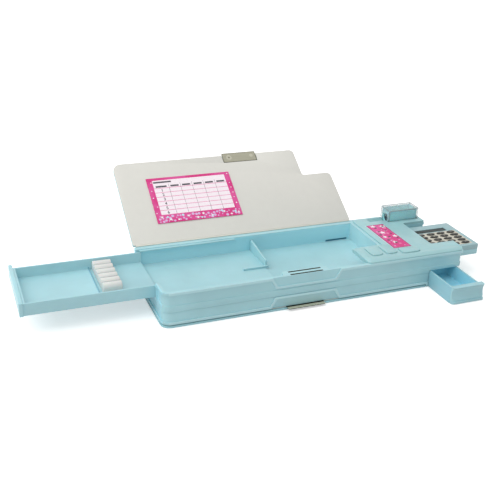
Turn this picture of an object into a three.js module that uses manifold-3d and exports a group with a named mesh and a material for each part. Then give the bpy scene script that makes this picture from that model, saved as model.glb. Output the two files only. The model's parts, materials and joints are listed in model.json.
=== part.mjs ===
// Two-sided magnetic pencil box, shown open: a lid above and a lid below, a long tray in the left
// end, a small drawer in the front, a calculator in the right end and a sharpener that rises.
// Millimetres, +Z up. Places are measured from the box's front left corner on the table, with every
// moving piece drawn shut inside a group that carries it to the open pose. The last group centres
// the box on the origin.
import * as THREE from 'three';
import { mergeVertices } from 'three/addons/utils/BufferGeometryUtils.js';
import Module from 'manifold-3d';

const wasm = await Module();
wasm.setup();

// Whole box
const boxLength = 255;
const boxDepth = 82.4;
const rimHeight = 28.3;
const fitGap = 0.3;
const overrun = 1;
const arcSteps = 5;
const weld = 1e-4;

// Lids: a stiff cover and a thin liner, hinged on a bead at each edge of the spine sheet
const coverSheet = 1.4;
const linerSheet = 0.5;
const lidThickness = linerSheet + fitGap + coverSheet;
const lidOpenAngle = THREE.MathUtils.degToRad(147.2);
const deckLength = 61.2;
const deckLeft = boxLength - deckLength;
const topLidLength = deckLeft - 0.5;
const padLength = 27.8;
const notchLeft = deckLeft - padLength;
const notchDepth = 29;
const caseFootLength = 33;
const bottomLidLength = boxLength - caseFootLength;
const lidFrontRadius = 7;
const lidCornerRadius = 4;
const lidBackRadius = 1;

// Case walls, rims and the band along the seam
const rimProud = 1;
const rimBand = 2.1;
const seamHeight = 12.3;
const seamBandProud = 0.4;
const seamBandHeight = 5.3;
const sideWall = 2;
const frontCornerRadius = 6;
const endCornerRadius = 3;
const backCornerRadius = 2;
const caseBottom = lidThickness + fitGap;
const lowerTop = seamHeight - fitGap;

// Spine sheet and its hinge beads
const spineSheet = 1;
const spineMargin = 2;
const beadRadius = 0.7;
const beadSides = 12;
const backFace = boxDepth - rimProud;
const hingeY = backFace + fitGap + spineSheet / 2;
const topHingeZ = rimHeight + fitGap;
const bottomHingeZ = lidThickness;
const lidBackEdge = beadRadius + fitGap;

// Compartments
const deckWall = 3;
const backWall = 4.4;
const compartmentRight = deckLeft - deckWall;
const compartmentBack = backFace - backWall;
const compartmentRadius = 3;
const innerLeft = rimProud + sideWall;
const innerFront = rimProud + sideWall;
const floorPlate = 1.3;
const floorStep = 1.4;
const rightFloor = seamHeight + floorPlate;
const leftFloor = rightFloor + floorStep;
const catchRight = 2.4;
const catchLength = 20.4;
const catchHeight = 1.6;
const catchDepth = 2;

// Latch: a trapezoid recess in the rim, with two pole strips on a magnet behind it
const latchShare = 0.4447;
const latchCentre = boxLength * latchShare;
const latchHalfWidth = 28.7;
const latchFootHalfWidth = 24;
const latchDrop = 7.5;
const ridgeWidth = 1.8;
const housingHalfWidth = 18.7;
const housingBack = 8.9;
const housingRadius = 2.5;
const poleHalfLength = 13.2;
const poleThickness = 0.9;
const poleFront = 1.9;
const magnetThickness = 2.9;
const poleHeight = 6.3;
const magnetHeight = 4.7;

// Strike plates on the lids
const strikeHalfLength = 15.7;
const strikeDepth = 10;
const topStrikeReach = 2.2;
const bottomStrikeReach = 3.5;
const strikeRadius = 1;
const bottomLinerInset = 1.2;

// Timetable card on the lid's liner, measured from the hinge
const cardLeft = 24.6;
const cardLength = 73.6;
const cardNear = 18.5;
const cardDepth = 45.5;
const cardSheet = 0.3;

// Deck panel over the right part, with its button pad
const deckSheet = 1.8;
const deckBottom = rimHeight + fitGap;
const deckTop = deckBottom + deckSheet;
const deckInset = 0.6;
const deckBack = backFace - rimProud;
const deckSlope = 2.4;
const deckSlopeHeight = 1.2;
const deckRadius = 3.2;
const deckThin = 1;
const softSteps = 2;
const padLeft = notchLeft + 0.5;
const padBack = notchDepth - 2 * fitGap;
const padSkirt = 2.6;
const padSkirtSheet = 1.6;

// Deck label
const labelLeft = deckLeft + 3.9;
const labelWidth = 16.8;
const labelFront = 16.2;
const labelBackGap = 2.8;
const labelSheet = 0.2;

// Release buttons: tongues that stand proud of the deck and tip down at their front edge
const buttonGroove = 0.35;
const buttonRadius = 3;
const buttonRise = 0.8;
const buttonEdge = 0.4;
const buttonInset = 7.5;
const buttonPitch = 13.2;
const buttonWidth = 10;
const buttonFront = 8.8;
const buttonLength = 14;
const wideButtonWidth = 16.6;
const wideButtonFront = 6.2;
const wideButtonLength = 9;
const buttons = [
  { name: 'tray_button', left: padLeft + buttonInset,
    width: buttonWidth, front: buttonFront, depth: buttonLength },
  { name: 'sharpener_button', left: padLeft + buttonInset + buttonPitch,
    width: buttonWidth, front: buttonFront, depth: buttonLength },
  { name: 'calculator_button', left: padLeft + buttonInset + 2 * buttonPitch,
    width: wideButtonWidth, front: wideButtonFront, depth: wideButtonLength },
];

// Side tray and the pencil holder in it
const trayTravel = 92.7;
const trayHeld = 4.3;
const trayWidth = 57.6;
const trayLift = 1.9;
const trayHeight = 9.5;
const trayEndPlate = 2.8;
const trayEndRise = 0.9;
const trayEndFrontLap = 1;
const trayEndBackLap = 3.8;
const trayBack = compartmentBack - 2 * fitGap;
const trayFront = trayBack - trayWidth;
const trayEndFront = trayFront - trayEndFrontLap;
const trayEndBack = trayBack + trayEndBackLap;
const trayBottom = leftFloor + trayLift;
const trayTop = trayBottom + trayHeight;
const trayEndTop = trayTop + trayEndRise;
const trayWall = 1.4;
const trayFloor = 1;
const trayInnerEnd = trayTravel + trayHeld;
const trayRibSheet = 0.8;
const trayRibHeight = 1;
const trayTabSheet = 1;
const trayTabWidth = 4;
const trayTabInset = 6;
const trayFrameWidth = 2.5;
const railHeight = 1;
const railReach = 2;
const railShort = 14;
const railEnd = trayInnerEnd - railShort;
const holderInset = 39.2;
const holderLeft = trayInnerEnd - holderInset;
const holderLength = 14;
const holderDepth = 44.1;
const holderHeight = 4.8;
const holderRidges = 6;
const ridgeRise = 3.2;
const trayRibGap = 1.9;
const ridgeSteps = 6;

// Divider across the compartment, with a foot at its front end
const dividerSheet = 1.4;
const dividerLeft = trayInnerEnd + fitGap;
const dividerLength = 32.7;
const dividerBackHeight = 11;
const dividerFrontHeight = 7.2;
const footLength = 21.5;
const footRightLap = 2.7;
const footDepth = 1.3;
const footHeight = 1.6;

// Front drawer
const drawerTravel = 33;
const drawerWidth = 26.6;
const drawerEndWall = 4.2;
const drawerLap = 3.4;
const drawerLapRadius = 1.2;
const drawerLeft = boxLength - drawerEndWall - drawerWidth;
const drawerDepth = 45.7;
const drawerBottom = 1.5;
const drawerHeight = 12.5;
const drawerTop = drawerBottom + drawerHeight;
const drawerWall = 1.4;
const drawerFrontWall = 4.6;
const drawerRadius = 3.5;
const pullRadius = 9;
const pullDepth = 1.8;
const pullSteps = 32;
const flangeHeight = 1.8;
const drawerFoot = fitGap;
const basePlate = 1.2;
const drawerBayGap = 0.4;
const lowerWall = 3.7;
const lowerRight = drawerLeft - lowerWall;

// Calculator
const calculatorTravel = 19.8;
const calculatorLength = 46.8;
const calculatorFront = 8;
const calculatorBackGap = 11.7;
const calculatorHeight = 9;
const calculatorBackHeight = 4.7;
const calculatorTop = rimHeight;
const calculatorBottom = calculatorTop - calculatorHeight;
const calculatorSplit = calculatorBottom + calculatorBackHeight;
const calculatorLeft = boxLength - calculatorLength;
const calculatorRadius = 1.2;
const calculatorBevel = 0.7;
const calculatorBayGap = 0.4;
const displayInset = 2.2;
const displayLength = 34.8;
const displayShare = 0.696;
const displayDepth = 5.5;
const displaySheet = 0.5;
const keyColumns = 4;
const keyRows = 5;
const keyPitchX = 10;
const keyPitchShare = 0.1174;
const firstKeyInset = 7.8;
const firstKeyShare = 0.135;
const keyLength = 7.6;
const keySpacing = 1.5;
const keyRise = 0.6;
const keySink = 1.4;
const keyTravel = 0.7;
const keyGap = 0.25;
const keySides = 16;
const windowLength = 22.4;
const windowLeft = boxLength - windowLength;
const windowInset = 8;
const windowFront = calculatorFront + windowInset;
const windowRecess = 6;
const windowRadius = 1.5;
const guideHeight = 5;
const guideSheet = 1.2;

// Sharpener, drawn raised: its shavings cover, base and wedge, and the spring under it
const sharpenerTravel = 10;
const sharpenerWidth = 29.8;
const sharpenerEndWall = 3.4;
const sharpenerLeft = boxLength - sharpenerEndWall - sharpenerWidth;
const sharpenerDepth = 14.3;
const sharpenerInset = 0.4;
const sharpenerFront = deckBack - sharpenerInset - sharpenerDepth;
const sharpenerHeight = 14.4;
const sharpenerTop = deckTop + sharpenerTravel;
const sharpenerFoot = sharpenerTop - sharpenerHeight;
const coverWall = 0.9;
const coverSkirt = 10.2;
const sharpenerBayGap = 0.4;
const sharpenerWall = 1.2;
const sharpenerFloor = 1.4;
const wedgeLength = 21;
const pencilHoleRadius = 3.6;
const pencilTipRadius = 0.5;
const pencilHoleRise = 5.9;
const pencilHoleZ = sharpenerFoot + pencilHoleRise;
const pencilHoleSides = 24;
const troughLength = 16;
const slotSink = 0.35;
const bladeGap = 0.05;
const bladeInset = 0.6;
const bladeLength = 18;
const bladeWidth = 4.2;
const bladeSheet = 0.5;
const screwRadius = 0.7;
const screwAlong = 12.5;
const screwAcross = 3.1;
const screwHeadRadius = 1.3;
const screwHead = 0.6;
const screwDepth = 2.6;
const screwSides = 12;
const screwSlot = 0.35;
const bayPlate = 1.7;
const bayFloor = seamHeight + bayPlate;
const springTurns = 3.5;
const springRadius = 4;
const springWire = 0.35;
const springStepsPerTurn = 16;
const springSides = 6;

// Colours
function plastic(color, roughness) {
  return new THREE.MeshStandardMaterial({ color, roughness, metalness: 0 });
}

function metal(color, roughness) {
  return new THREE.MeshStandardMaterial({ color, roughness, metalness: 1 });
}

const aqua = () => plastic(0xa3d3da, 0.45);
const pearl = () => plastic(0xdedcd3, 0.5);
const steel = () => metal(0xb5b0a0, 0.35);
const darkSteel = () => metal(0x5b574c, 0.45);

// Solids: joined and cut as closed bodies, and turned back into geometry
function toSolid(geometry) {
  geometry.deleteAttribute('normal');
  geometry.deleteAttribute('uv');
  const merged = mergeVertices(geometry, weld);
  return new wasm.Manifold(new wasm.Mesh({
    numProp: 3,
    vertProperties: new Float32Array(merged.attributes.position.array),
    triVerts: new Uint32Array(merged.index.array),
  }));
}

function toMesh(name, solid, material) {
  const data = solid.getMesh();
  const geometry = new THREE.BufferGeometry();
  geometry.setAttribute('position', new THREE.BufferAttribute(data.vertProperties, 3));
  geometry.setIndex(new THREE.BufferAttribute(data.triVerts, 1));
  geometry.computeVertexNormals();
  const mesh = new THREE.Mesh(geometry, material);
  mesh.name = name;
  return mesh;
}

const join = (first, ...rest) => rest.reduce((whole, other) => whole.add(other), first);
const cut = (first, ...rest) => rest.reduce((whole, other) => whole.subtract(other), first);

// The points of an outline whose corners, [x, y, radius], are rounded with arcs
function roundedPoints(corners) {
  return corners.flatMap(([x, y, radius = 0], index) => {
    const corner = new THREE.Vector2(x, y);
    if (radius === 0) return [corner];
    const [beforeX, beforeY] = corners.at(index - 1);
    const [afterX, afterY] = corners[(index + 1) % corners.length];
    const before = new THREE.Vector2(beforeX, beforeY).sub(corner).normalize();
    const after = new THREE.Vector2(afterX, afterY).sub(corner).normalize();
    const half = Math.acos(before.dot(after)) / 2;
    const middle = before.clone().add(after).normalize();
    const centre = corner.clone().addScaledVector(middle, radius / Math.sin(half));
    const start = corner.clone().addScaledVector(before, radius / Math.tan(half)).sub(centre);
    const end = corner.clone().addScaledVector(after, radius / Math.tan(half)).sub(centre);
    const sweep = Math.atan2(start.cross(end), start.dot(end));
    return Array.from({ length: arcSteps + 1 }, (_, step) =>
      start.clone().rotateAround(new THREE.Vector2(), sweep * step / arcSteps).add(centre));
  });
}

const rectangle = (left, right, front, back, radius = 0) => [
  [left, front, radius], [right, front, radius], [right, back, radius], [left, back, radius],
];

// An outline in X and Y between two heights
function plate(corners, low, high) {
  const geometry = new THREE.ExtrudeGeometry(new THREE.Shape(roundedPoints(corners)), {
    depth: high - low, bevelEnabled: false,
  });
  return toSolid(geometry.translate(0, 0, low));
}

// The same, with its upper edge sloped: in by a width, down by a height
function slopedPlate(corners, low, high, width, height, steps = 1) {
  const geometry = new THREE.ExtrudeGeometry(new THREE.Shape(roundedPoints(corners)), {
    depth: high - low - height,
    bevelThickness: height,
    bevelSize: width,
    bevelOffset: -width,
    bevelSegments: steps,
  });
  return toSolid(geometry.translate(0, 0, low)).trimByPlane([0, 0, 1], low);
}

const softPlate = (corners, low, high, edge) =>
  slopedPlate(corners, low, high, edge, edge, softSteps);

const block = (left, right, front, back, low, high) =>
  plate(rectangle(left, right, front, back), low, high);

// A profile in Y and Z, run from one X to another
function alongX(points, left, right) {
  const geometry = new THREE.ExtrudeGeometry(new THREE.Shape(points), {
    depth: right - left, bevelEnabled: false,
  });
  const turn = new THREE.Matrix4().makeBasis(
    new THREE.Vector3(0, 1, 0), new THREE.Vector3(0, 0, 1), new THREE.Vector3(1, 0, 0),
  );
  return toSolid(geometry.applyMatrix4(turn).translate(left, 0, 0));
}

// A profile in X and Z, run from one Y to another
function alongY(points, front, back) {
  const geometry = new THREE.ExtrudeGeometry(new THREE.Shape(points), {
    depth: back - front, bevelEnabled: false,
  });
  const turn = new THREE.Matrix4().makeBasis(
    new THREE.Vector3(1, 0, 0), new THREE.Vector3(0, 0, 1), new THREE.Vector3(0, -1, 0),
  );
  return toSolid(geometry.applyMatrix4(turn).translate(0, back, 0));
}

// A rod or a cone along X
function rodX(leftRadius, rightRadius, left, right, y, z, sides) {
  const rod = new THREE.CylinderGeometry(rightRadius, leftRadius, right - left, sides);
  return toSolid(rod.rotateZ(-Math.PI / 2).translate((left + right) / 2, y, z));
}

// A rod along Z
function rodZ(radius, x, y, low, high, sides) {
  const rod = new THREE.CylinderGeometry(radius, radius, high - low, sides);
  return toSolid(rod.rotateX(Math.PI / 2).translate(x, y, (low + high) / 2));
}

const points = (pairs) => pairs.map(([a, b]) => new THREE.Vector2(a, b));

// Case outline, grown outwards by an amount at the front and the ends
function caseOutline(grown) {
  const edge = rimProud - grown;
  return [
    [edge, edge, frontCornerRadius + grown],
    [boxLength - edge, edge, endCornerRadius],
    [boxLength - edge, backFace, backCornerRadius],
    [edge, backFace, backCornerRadius],
  ];
}

// Latch recess at a rim: the bead leaves the edge and runs round a trapezoid
function latchOutline(edgeZ, inward, grown, past) {
  const foot = edgeZ + inward * (latchDrop + grown);
  const outside = edgeZ - inward * past;
  const lean = (latchHalfWidth - latchFootHalfWidth) / latchDrop;
  const wide = latchHalfWidth + grown + lean * past;
  const narrow = latchFootHalfWidth + grown;
  const corners = [
    [latchCentre - wide, outside], [latchCentre - narrow, foot],
    [latchCentre + narrow, foot], [latchCentre + wide, outside],
  ];
  return points(inward < 0 ? corners : corners.reverse());
}

function withLatch(body, edgeZ, inward) {
  const ridge = alongY(latchOutline(edgeZ, inward, ridgeWidth, 0), 0, rimProud + seamBandProud);
  const recess = alongY(latchOutline(edgeZ, inward, 0, overrun), -overrun, rimProud);
  return body.add(ridge).subtract(recess);
}

// Magnet housing behind a latch: slots for two pole strips, joined by the magnet's pocket
const magnetFront = poleFront + poleThickness + fitGap;
const rearPoleFront = magnetFront + magnetThickness + fitGap;
const magnetRows = [
  { name: 'front_pole', front: poleFront, thickness: poleThickness, sunk: 0, height: poleHeight },
  { name: 'magnet', front: magnetFront, thickness: magnetThickness,
    sunk: poleHeight - magnetHeight, height: magnetHeight },
  { name: 'rear_pole', front: rearPoleFront, thickness: poleThickness, sunk: 0, height: poleHeight },
];

function span(edgeZ, inward, near, far) {
  const ends = [edgeZ + inward * near, edgeZ + inward * far];
  return [Math.min(...ends), Math.max(...ends)];
}

function magnetHousing(low, high) {
  const left = latchCentre - housingHalfWidth;
  const right = latchCentre + housingHalfWidth;
  return plate([
    [left, innerFront - fitGap], [right, innerFront - fitGap],
    [right, housingBack, housingRadius], [left, housingBack, housingRadius],
  ], low, high);
}

function magnetWells(edgeZ, inward) {
  const left = latchCentre - poleHalfLength - fitGap;
  const right = latchCentre + poleHalfLength + fitGap;
  return magnetRows.map(({ front, thickness, sunk }) => {
    const near = sunk === 0 ? -overrun : sunk - fitGap;
    const [low, high] = span(edgeZ, inward, near, poleHeight + fitGap);
    return block(left, right, front - fitGap, front + thickness + fitGap, low, high);
  });
}

function magnetPieces(prefix, edgeZ, inward) {
  return magnetRows.map(({ name, front, thickness, sunk, height }) => {
    const [low, high] = span(edgeZ, inward, sunk, sunk + height);
    const solid = block(latchCentre - poleHalfLength, latchCentre + poleHalfLength,
      front, front + thickness, low, high);
    const material = name === 'magnet' ? plastic(0x2f2d2b, 0.8) : darkSteel();
    return toMesh(`${prefix}_${name}`, solid, material);
  });
}

// Bays in the right part
const calculatorBack = sharpenerFront - calculatorBackGap;
const calculatorDepth = calculatorBack - calculatorFront;
const windowBack = calculatorBack + windowRecess;
const calculatorBayLeft = calculatorLeft - calculatorBayGap;
const calculatorBayFront = calculatorFront - calculatorBayGap;
const calculatorBayBack = calculatorBack + calculatorBayGap;
const calculatorBayFloor = calculatorBottom - calculatorBayGap;
const drawerFront = rimProud;
const drawerRight = drawerLeft + drawerWidth;
const drawerPanelRight = drawerRight + drawerLap;
const drawerPanelBack = drawerFront + drawerFrontWall;
const drawerBayBack = drawerFront + drawerDepth + drawerBayGap;
const drawerBayTop = drawerTop + drawerBayGap;
const sharpenerRight = sharpenerLeft + sharpenerWidth;
const sharpenerBack = sharpenerFront + sharpenerDepth;

function drawerBay(low, high) {
  return block(drawerLeft - drawerBayGap, drawerRight + drawerBayGap, -overrun, drawerBayBack,
    low, high);
}

function drawerPanelBay(low, high) {
  return block(drawerLeft - drawerBayGap, boxLength + overrun, -overrun, drawerPanelBack + fitGap,
    low, high);
}

function sharpenerBay(low, high, back) {
  return block(sharpenerLeft - sharpenerBayGap, sharpenerRight + sharpenerBayGap,
    sharpenerFront - sharpenerBayGap, back, low, high);
}

// Upper half of the case: walls, compartment, tray opening and the bays under the deck
function upperCase() {
  const wallLeft = deckLeft + rimProud;
  const high = rimHeight + overrun;
  let body = join(
    plate(caseOutline(0), seamHeight, rimHeight),
    plate(caseOutline(seamBandProud), seamHeight, seamHeight + seamBandHeight),
    plate(caseOutline(rimProud), rimHeight - rimBand, rimHeight),
    block(0, innerLeft, trayFront - trayFrameWidth, trayBack + trayFrameWidth,
      trayBottom - fitGap - trayFrameWidth, rimHeight),
  );
  body = withLatch(body, rimHeight, -1);
  body = cut(
    body,
    plate([
      [innerLeft, innerFront, compartmentRadius], [compartmentRight, innerFront, compartmentRadius],
      [compartmentRight, compartmentBack, compartmentRadius], [innerLeft, compartmentBack, 0],
    ], leftFloor, high),
    block(dividerLeft, compartmentRight, innerFront, compartmentBack, rightFloor, high),
    block(innerLeft, dividerLeft - sideWall, innerFront, compartmentBack,
      seamHeight - overrun, leftFloor - floorPlate),
    block(compartmentRight - catchRight - catchLength, compartmentRight - catchRight,
      compartmentBack - fitGap, compartmentBack + catchDepth, rightFloor, rightFloor + catchHeight),
    block(wallLeft, calculatorBayLeft - sideWall, innerFront, compartmentBack, bayFloor, high),
    block(calculatorBayLeft, boxLength + overrun, calculatorBayFront, windowBack,
      calculatorBayFloor, high),
    sharpenerBay(bayFloor, high, sharpenerBack + sharpenerBayGap),
    drawerBay(seamHeight - overrun, drawerBayTop),
    drawerPanelBay(seamHeight - overrun, drawerBayTop),
  );
  const housing = magnetHousing(rightFloor - fitGap, rimHeight);
  const rail = block(innerLeft - fitGap, railEnd, compartmentBack - railReach,
    compartmentBack + fitGap, trayTop + fitGap, trayTop + fitGap + railHeight);
  const guide = block(calculatorBayLeft, boxLength - rimProud, calculatorBayBack,
    calculatorBayBack + guideSheet, calculatorBayFloor - fitGap, calculatorBayFloor + guideHeight);
  body = join(body, housing, rail, guide);
  const trayOpening = block(-overrun, innerLeft + fitGap, trayFront - fitGap, trayBack + fitGap,
    trayBottom - fitGap, high);
  return cut(body, trayOpening, ...magnetWells(rimHeight, -1));
}

// Lower half of the case: a frame round the lower compartment, and the drawer's bay on its own base
function lowerCase() {
  const footLeftEdge = bottomLidLength + fitGap;
  const foot = plate(caseOutline(rimProud), 0, caseBottom + rimBand)
    .intersect(block(footLeftEdge, boxLength, 0, backFace, 0, caseBottom + rimBand));
  let body = join(
    plate(caseOutline(0), caseBottom, lowerTop),
    plate(caseOutline(rimProud), caseBottom, caseBottom + rimBand),
    foot,
  );
  body = withLatch(body, caseBottom, 1);
  body = cut(
    body,
    plate(rectangle(innerLeft, lowerRight, innerFront, compartmentBack, compartmentRadius),
      -overrun, seamHeight),
    block(drawerLeft, drawerRight, drawerBayBack + sideWall, compartmentBack, basePlate, seamHeight),
    drawerBay(basePlate, seamHeight),
    drawerPanelBay(-overrun, seamHeight),
    ...drawerSkirts(drawerBayGap, -overrun, basePlate + overrun),
  );
  return cut(join(body, magnetHousing(caseBottom, lowerTop)), ...magnetWells(caseBottom, 1));
}

// Sheet along the back, with a hinge bead for each lid
function spineCover() {
  const front = backFace + fitGap;
  return join(
    block(spineMargin, bottomLidLength, front, front + spineSheet, bottomHingeZ, rimHeight),
    rodX(beadRadius, beadRadius, spineMargin, topLidLength - lidBackRadius, hingeY, topHingeZ,
      beadSides),
    rodX(beadRadius, beadRadius, spineMargin, bottomLidLength, hingeY, bottomHingeZ, beadSides),
  );
}

// Divider blade with a low foot
function divider() {
  const back = compartmentBack - fitGap;
  const front = back - dividerLength;
  const footRight = dividerLeft + footRightLap;
  const blade = alongX(points([
    [front, rightFloor], [back, rightFloor],
    [back, rightFloor + dividerBackHeight], [front, rightFloor + dividerFrontHeight],
  ]), dividerLeft, dividerLeft + dividerSheet);
  const foot = block(footRight - footLength, footRight, front - footDepth, front + fitGap,
    leftFloor, leftFloor + footHeight);
  return join(blade, foot);
}

// Deck panel, its pad and its label. The slope round its edge stops short of the right end.
function deckOutline(right) {
  return [
    [padLeft, deckInset, deckRadius],
    [right, deckInset, deckRadius],
    [right, deckBack, deckRadius],
    [deckLeft, deckBack, deckRadius],
    [deckLeft, padBack, 0],
    [padLeft, padBack, deckRadius],
  ];
}

function buttonOutline({ left, width, front, depth }, grown, back) {
  const right = left + width + grown;
  return [
    [left - grown, front - grown, buttonRadius + grown],
    [right, front - grown, buttonRadius + grown],
    [right, front + depth + back], [left - grown, front + depth + back],
  ];
}

function buttonHole(button) {
  return plate(buttonOutline(button, buttonGroove, fitGap), deckBottom - overrun,
    deckTop + overrun);
}

function deckPanel() {
  const skirtFront = innerFront + fitGap;
  const skirtLow = deckBottom - padSkirt;
  const right = boxLength - deckInset;
  const sheet = slopedPlate(deckOutline(right + deckSlope), deckBottom, deckTop,
    deckSlope, deckSlopeHeight);
  const panel = join(
    sheet.intersect(plate(deckOutline(right), deckBottom, deckTop)),
    block(padLeft, padLeft + padSkirtSheet, skirtFront, padBack, skirtLow, deckBottom + fitGap),
    block(padLeft, compartmentRight - fitGap, padBack - padSkirtSheet, padBack, skirtLow,
      deckBottom + fitGap),
  );
  const windowRight = boxLength + overrun + windowRadius;
  const wells = [
    plate(rectangle(windowLeft, windowRight, windowFront, windowBack, windowRadius),
      deckBottom - overrun, deckTop + overrun),
    block(calculatorBayLeft, boxLength + overrun, calculatorBayFront, calculatorBayBack + guideSheet,
      deckBottom - overrun, deckTop - deckThin),
    sharpenerBay(deckBottom - overrun, deckTop + overrun, deckBack + overrun),
    rodX(pencilHoleRadius, pencilHoleRadius, sharpenerLeft - troughLength, sharpenerLeft,
      pencilY, pencilHoleZ, pencilHoleSides),
  ];
  return cut(panel, ...wells, ...buttons.map(buttonHole));
}

function deckLabel() {
  return block(labelLeft, labelLeft + labelWidth, labelFront, sharpenerFront - labelBackGap,
    deckTop, deckTop + labelSheet);
}

function buttonTongue(button) {
  return softPlate(buttonOutline(button, 0, 0), deckTop - deckThin, deckTop + buttonRise,
    buttonEdge);
}

// Lids, drawn shut with the hinge axis at the origin and their inner face on the plane Z = 0.
// outward is 1 for the lid above and -1 for the lid below.
const lidFrontEdge = -hingeY;

function topLidOutline() {
  return [
    [0, lidFrontEdge, lidFrontRadius],
    [notchLeft, lidFrontEdge, lidCornerRadius],
    [notchLeft, lidFrontEdge + notchDepth, lidCornerRadius / 2],
    [topLidLength, lidFrontEdge + notchDepth, lidCornerRadius],
    [topLidLength, -lidBackEdge, lidBackRadius],
    [0, -lidBackEdge, lidBackRadius],
  ];
}

function bottomLidOutline(inset) {
  const [right, front, back] = [bottomLidLength - inset, lidFrontEdge + inset, -lidBackEdge - inset];
  return [
    [inset, front, lidFrontRadius - inset], [right, front, lidBackRadius],
    [right, back, lidBackRadius], [inset, back, lidBackRadius],
  ];
}

function strikeOutline(reach, grown) {
  return rectangle(
    latchCentre - strikeHalfLength - grown, latchCentre + strikeHalfLength + grown,
    lidFrontEdge - reach - grown, lidFrontEdge - reach + strikeDepth + grown, strikeRadius,
  );
}

function lidPieces(prefix, coverOutline, linerOutline, outward, reach) {
  const coverEnds = span(0, outward, linerSheet + fitGap, lidThickness);
  const linerEnds = span(0, outward, 0, linerSheet);
  const strikeWell = plate(strikeOutline(reach, fitGap), -lidThickness, lidThickness);
  return [
    toMesh(`${prefix}_cover`, plate(coverOutline, ...coverEnds), aqua()),
    toMesh(`${prefix}_liner`, plate(linerOutline, ...linerEnds).subtract(strikeWell), pearl()),
    toMesh(`${prefix}_strike`, plate(strikeOutline(reach, 0), ...linerEnds), steel()),
  ];
}

function timetableCard() {
  return block(cardLeft, cardLeft + cardLength, -cardNear - cardDepth, -cardNear,
    -fitGap - cardSheet, -fitGap);
}

// Side tray: a channel open at its inner end, with two tabs that catch on the end wall's sill
function sideTray() {
  const plateOutside = -fitGap - trayEndPlate;
  const rib = holderLeft - trayRibGap;
  const tabs = [trayFront + trayTabInset, trayBack - trayTabInset - trayTabWidth].map((front) =>
    block(trayInnerEnd - trayTabSheet, trayInnerEnd, front, front + trayTabWidth,
      leftFloor + fitGap, trayBottom + trayFloor));
  const channel = cut(
    block(-trayEndPlate, trayInnerEnd, trayFront, trayBack, trayBottom, trayTop),
    block(trayWall, trayInnerEnd + overrun, trayFront + trayWall, trayBack - trayWall,
      trayBottom + trayFloor, trayTop + overrun),
  );
  return join(
    channel,
    block(plateOutside, -fitGap, trayEndFront, trayEndBack, trayBottom, trayEndTop),
    block(rib - trayRibSheet, rib, trayFront + trayWall - fitGap, trayBack - trayWall + fitGap,
      trayBottom + trayFloor - fitGap, trayBottom + trayFloor + trayRibHeight),
    ...tabs,
  );
}

// Pencil holder: a row of rounded ridges
function pencilHolder() {
  const back = trayBack - trayWall - fitGap;
  const front = back - holderDepth;
  const low = trayBottom + trayFloor;
  const pitch = holderDepth / holderRidges;
  const ridges = Array.from({ length: holderRidges * ridgeSteps + 1 }, (_, step) => {
    const along = (step / ridgeSteps) % 1;
    const rise = ridgeRise * Math.sqrt(Math.max(0, 1 - (2 * along - 1) ** 2));
    return [back - pitch * step / ridgeSteps, low + holderHeight + rise];
  });
  return alongX(points([[front, low], [back, low], ...ridges]),
    holderLeft, holderLeft + holderLength);
}

// Front drawer: a tub behind a front that laps over the case's end, hollowed to pull it by
function drawerFrontOutline(front, back) {
  return [
    [drawerLeft, front, drawerRadius], [drawerPanelRight, front, drawerLapRadius],
    [drawerPanelRight, back], [drawerLeft, back],
  ];
}

// Feet of the drawer's side walls, which reach down past the tongue that the drawer rides on
function drawerSkirts(grown, low, high) {
  const back = drawerFront + drawerDepth + grown;
  return [drawerLeft, drawerRight - drawerWall].map((left) =>
    block(left - grown, left + drawerWall + grown, drawerPanelBack - drawerWall, back, low, high));
}

function frontDrawer() {
  const back = drawerFront + drawerDepth;
  const inner = rectangle(drawerLeft + drawerWall, drawerRight - drawerWall,
    drawerPanelBack, back - drawerWall, drawerWall);
  const flange = plate(drawerFrontOutline(0, drawerPanelBack), fitGap, fitGap + flangeHeight)
    .intersect(block(drawerLeft, drawerPanelRight, 0, drawerFront + drawerWall, 0, drawerTop));
  const pullZ = (drawerBottom + flangeHeight + drawerTop) / 2;
  const pull = rodX(pullRadius, pullRadius, drawerLeft - overrun, drawerPanelRight + overrun,
    drawerFront + pullDepth - pullRadius, pullZ, pullSteps);
  const tub = join(
    plate(drawerFrontOutline(drawerFront, drawerPanelBack), drawerBottom, drawerTop),
    block(drawerLeft, drawerRight, drawerPanelBack - drawerWall, back, drawerBottom, drawerTop),
    plate(drawerFrontOutline(drawerFront, drawerPanelBack), drawerFoot, drawerBottom + overrun),
    ...drawerSkirts(0, drawerFoot, drawerBottom + overrun),
  );
  return cut(tub, pull, plate(inner, drawerBottom + drawerWall, drawerTop + overrun)).add(flange);
}

// Calculator
const displayLeft = calculatorLeft + displayInset;
const displayFront = calculatorFront + calculatorDepth * displayShare;
const firstKeyX = calculatorLeft + firstKeyInset;
const firstKeyY = calculatorFront + calculatorDepth * firstKeyShare;
const keyPitchY = calculatorDepth * keyPitchShare;
const keyDepth = keyPitchY - keySpacing;

function calculatorOutline() {
  return rectangle(calculatorLeft, boxLength, calculatorFront, calculatorBack, calculatorRadius);
}

function keyCentre(column, row) {
  return new THREE.Vector2(firstKeyX + column * keyPitchX, firstKeyY + row * keyPitchY);
}

function oval(centre, grown, low, high) {
  const disc = new THREE.CylinderGeometry(1, 1, high - low, keySides).rotateX(Math.PI / 2);
  disc.scale(keyLength / 2 + grown, keyDepth / 2 + grown, 1);
  return toSolid(disc.translate(centre.x, centre.y, (low + high) / 2));
}

const keyNames = Array.from({ length: keyColumns * keyRows }, (_, index) => {
  const column = index % keyColumns;
  const row = Math.floor(index / keyColumns);
  return { name: `key_${row + 1}_${column + 1}`, centre: keyCentre(column, row) };
});

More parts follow.
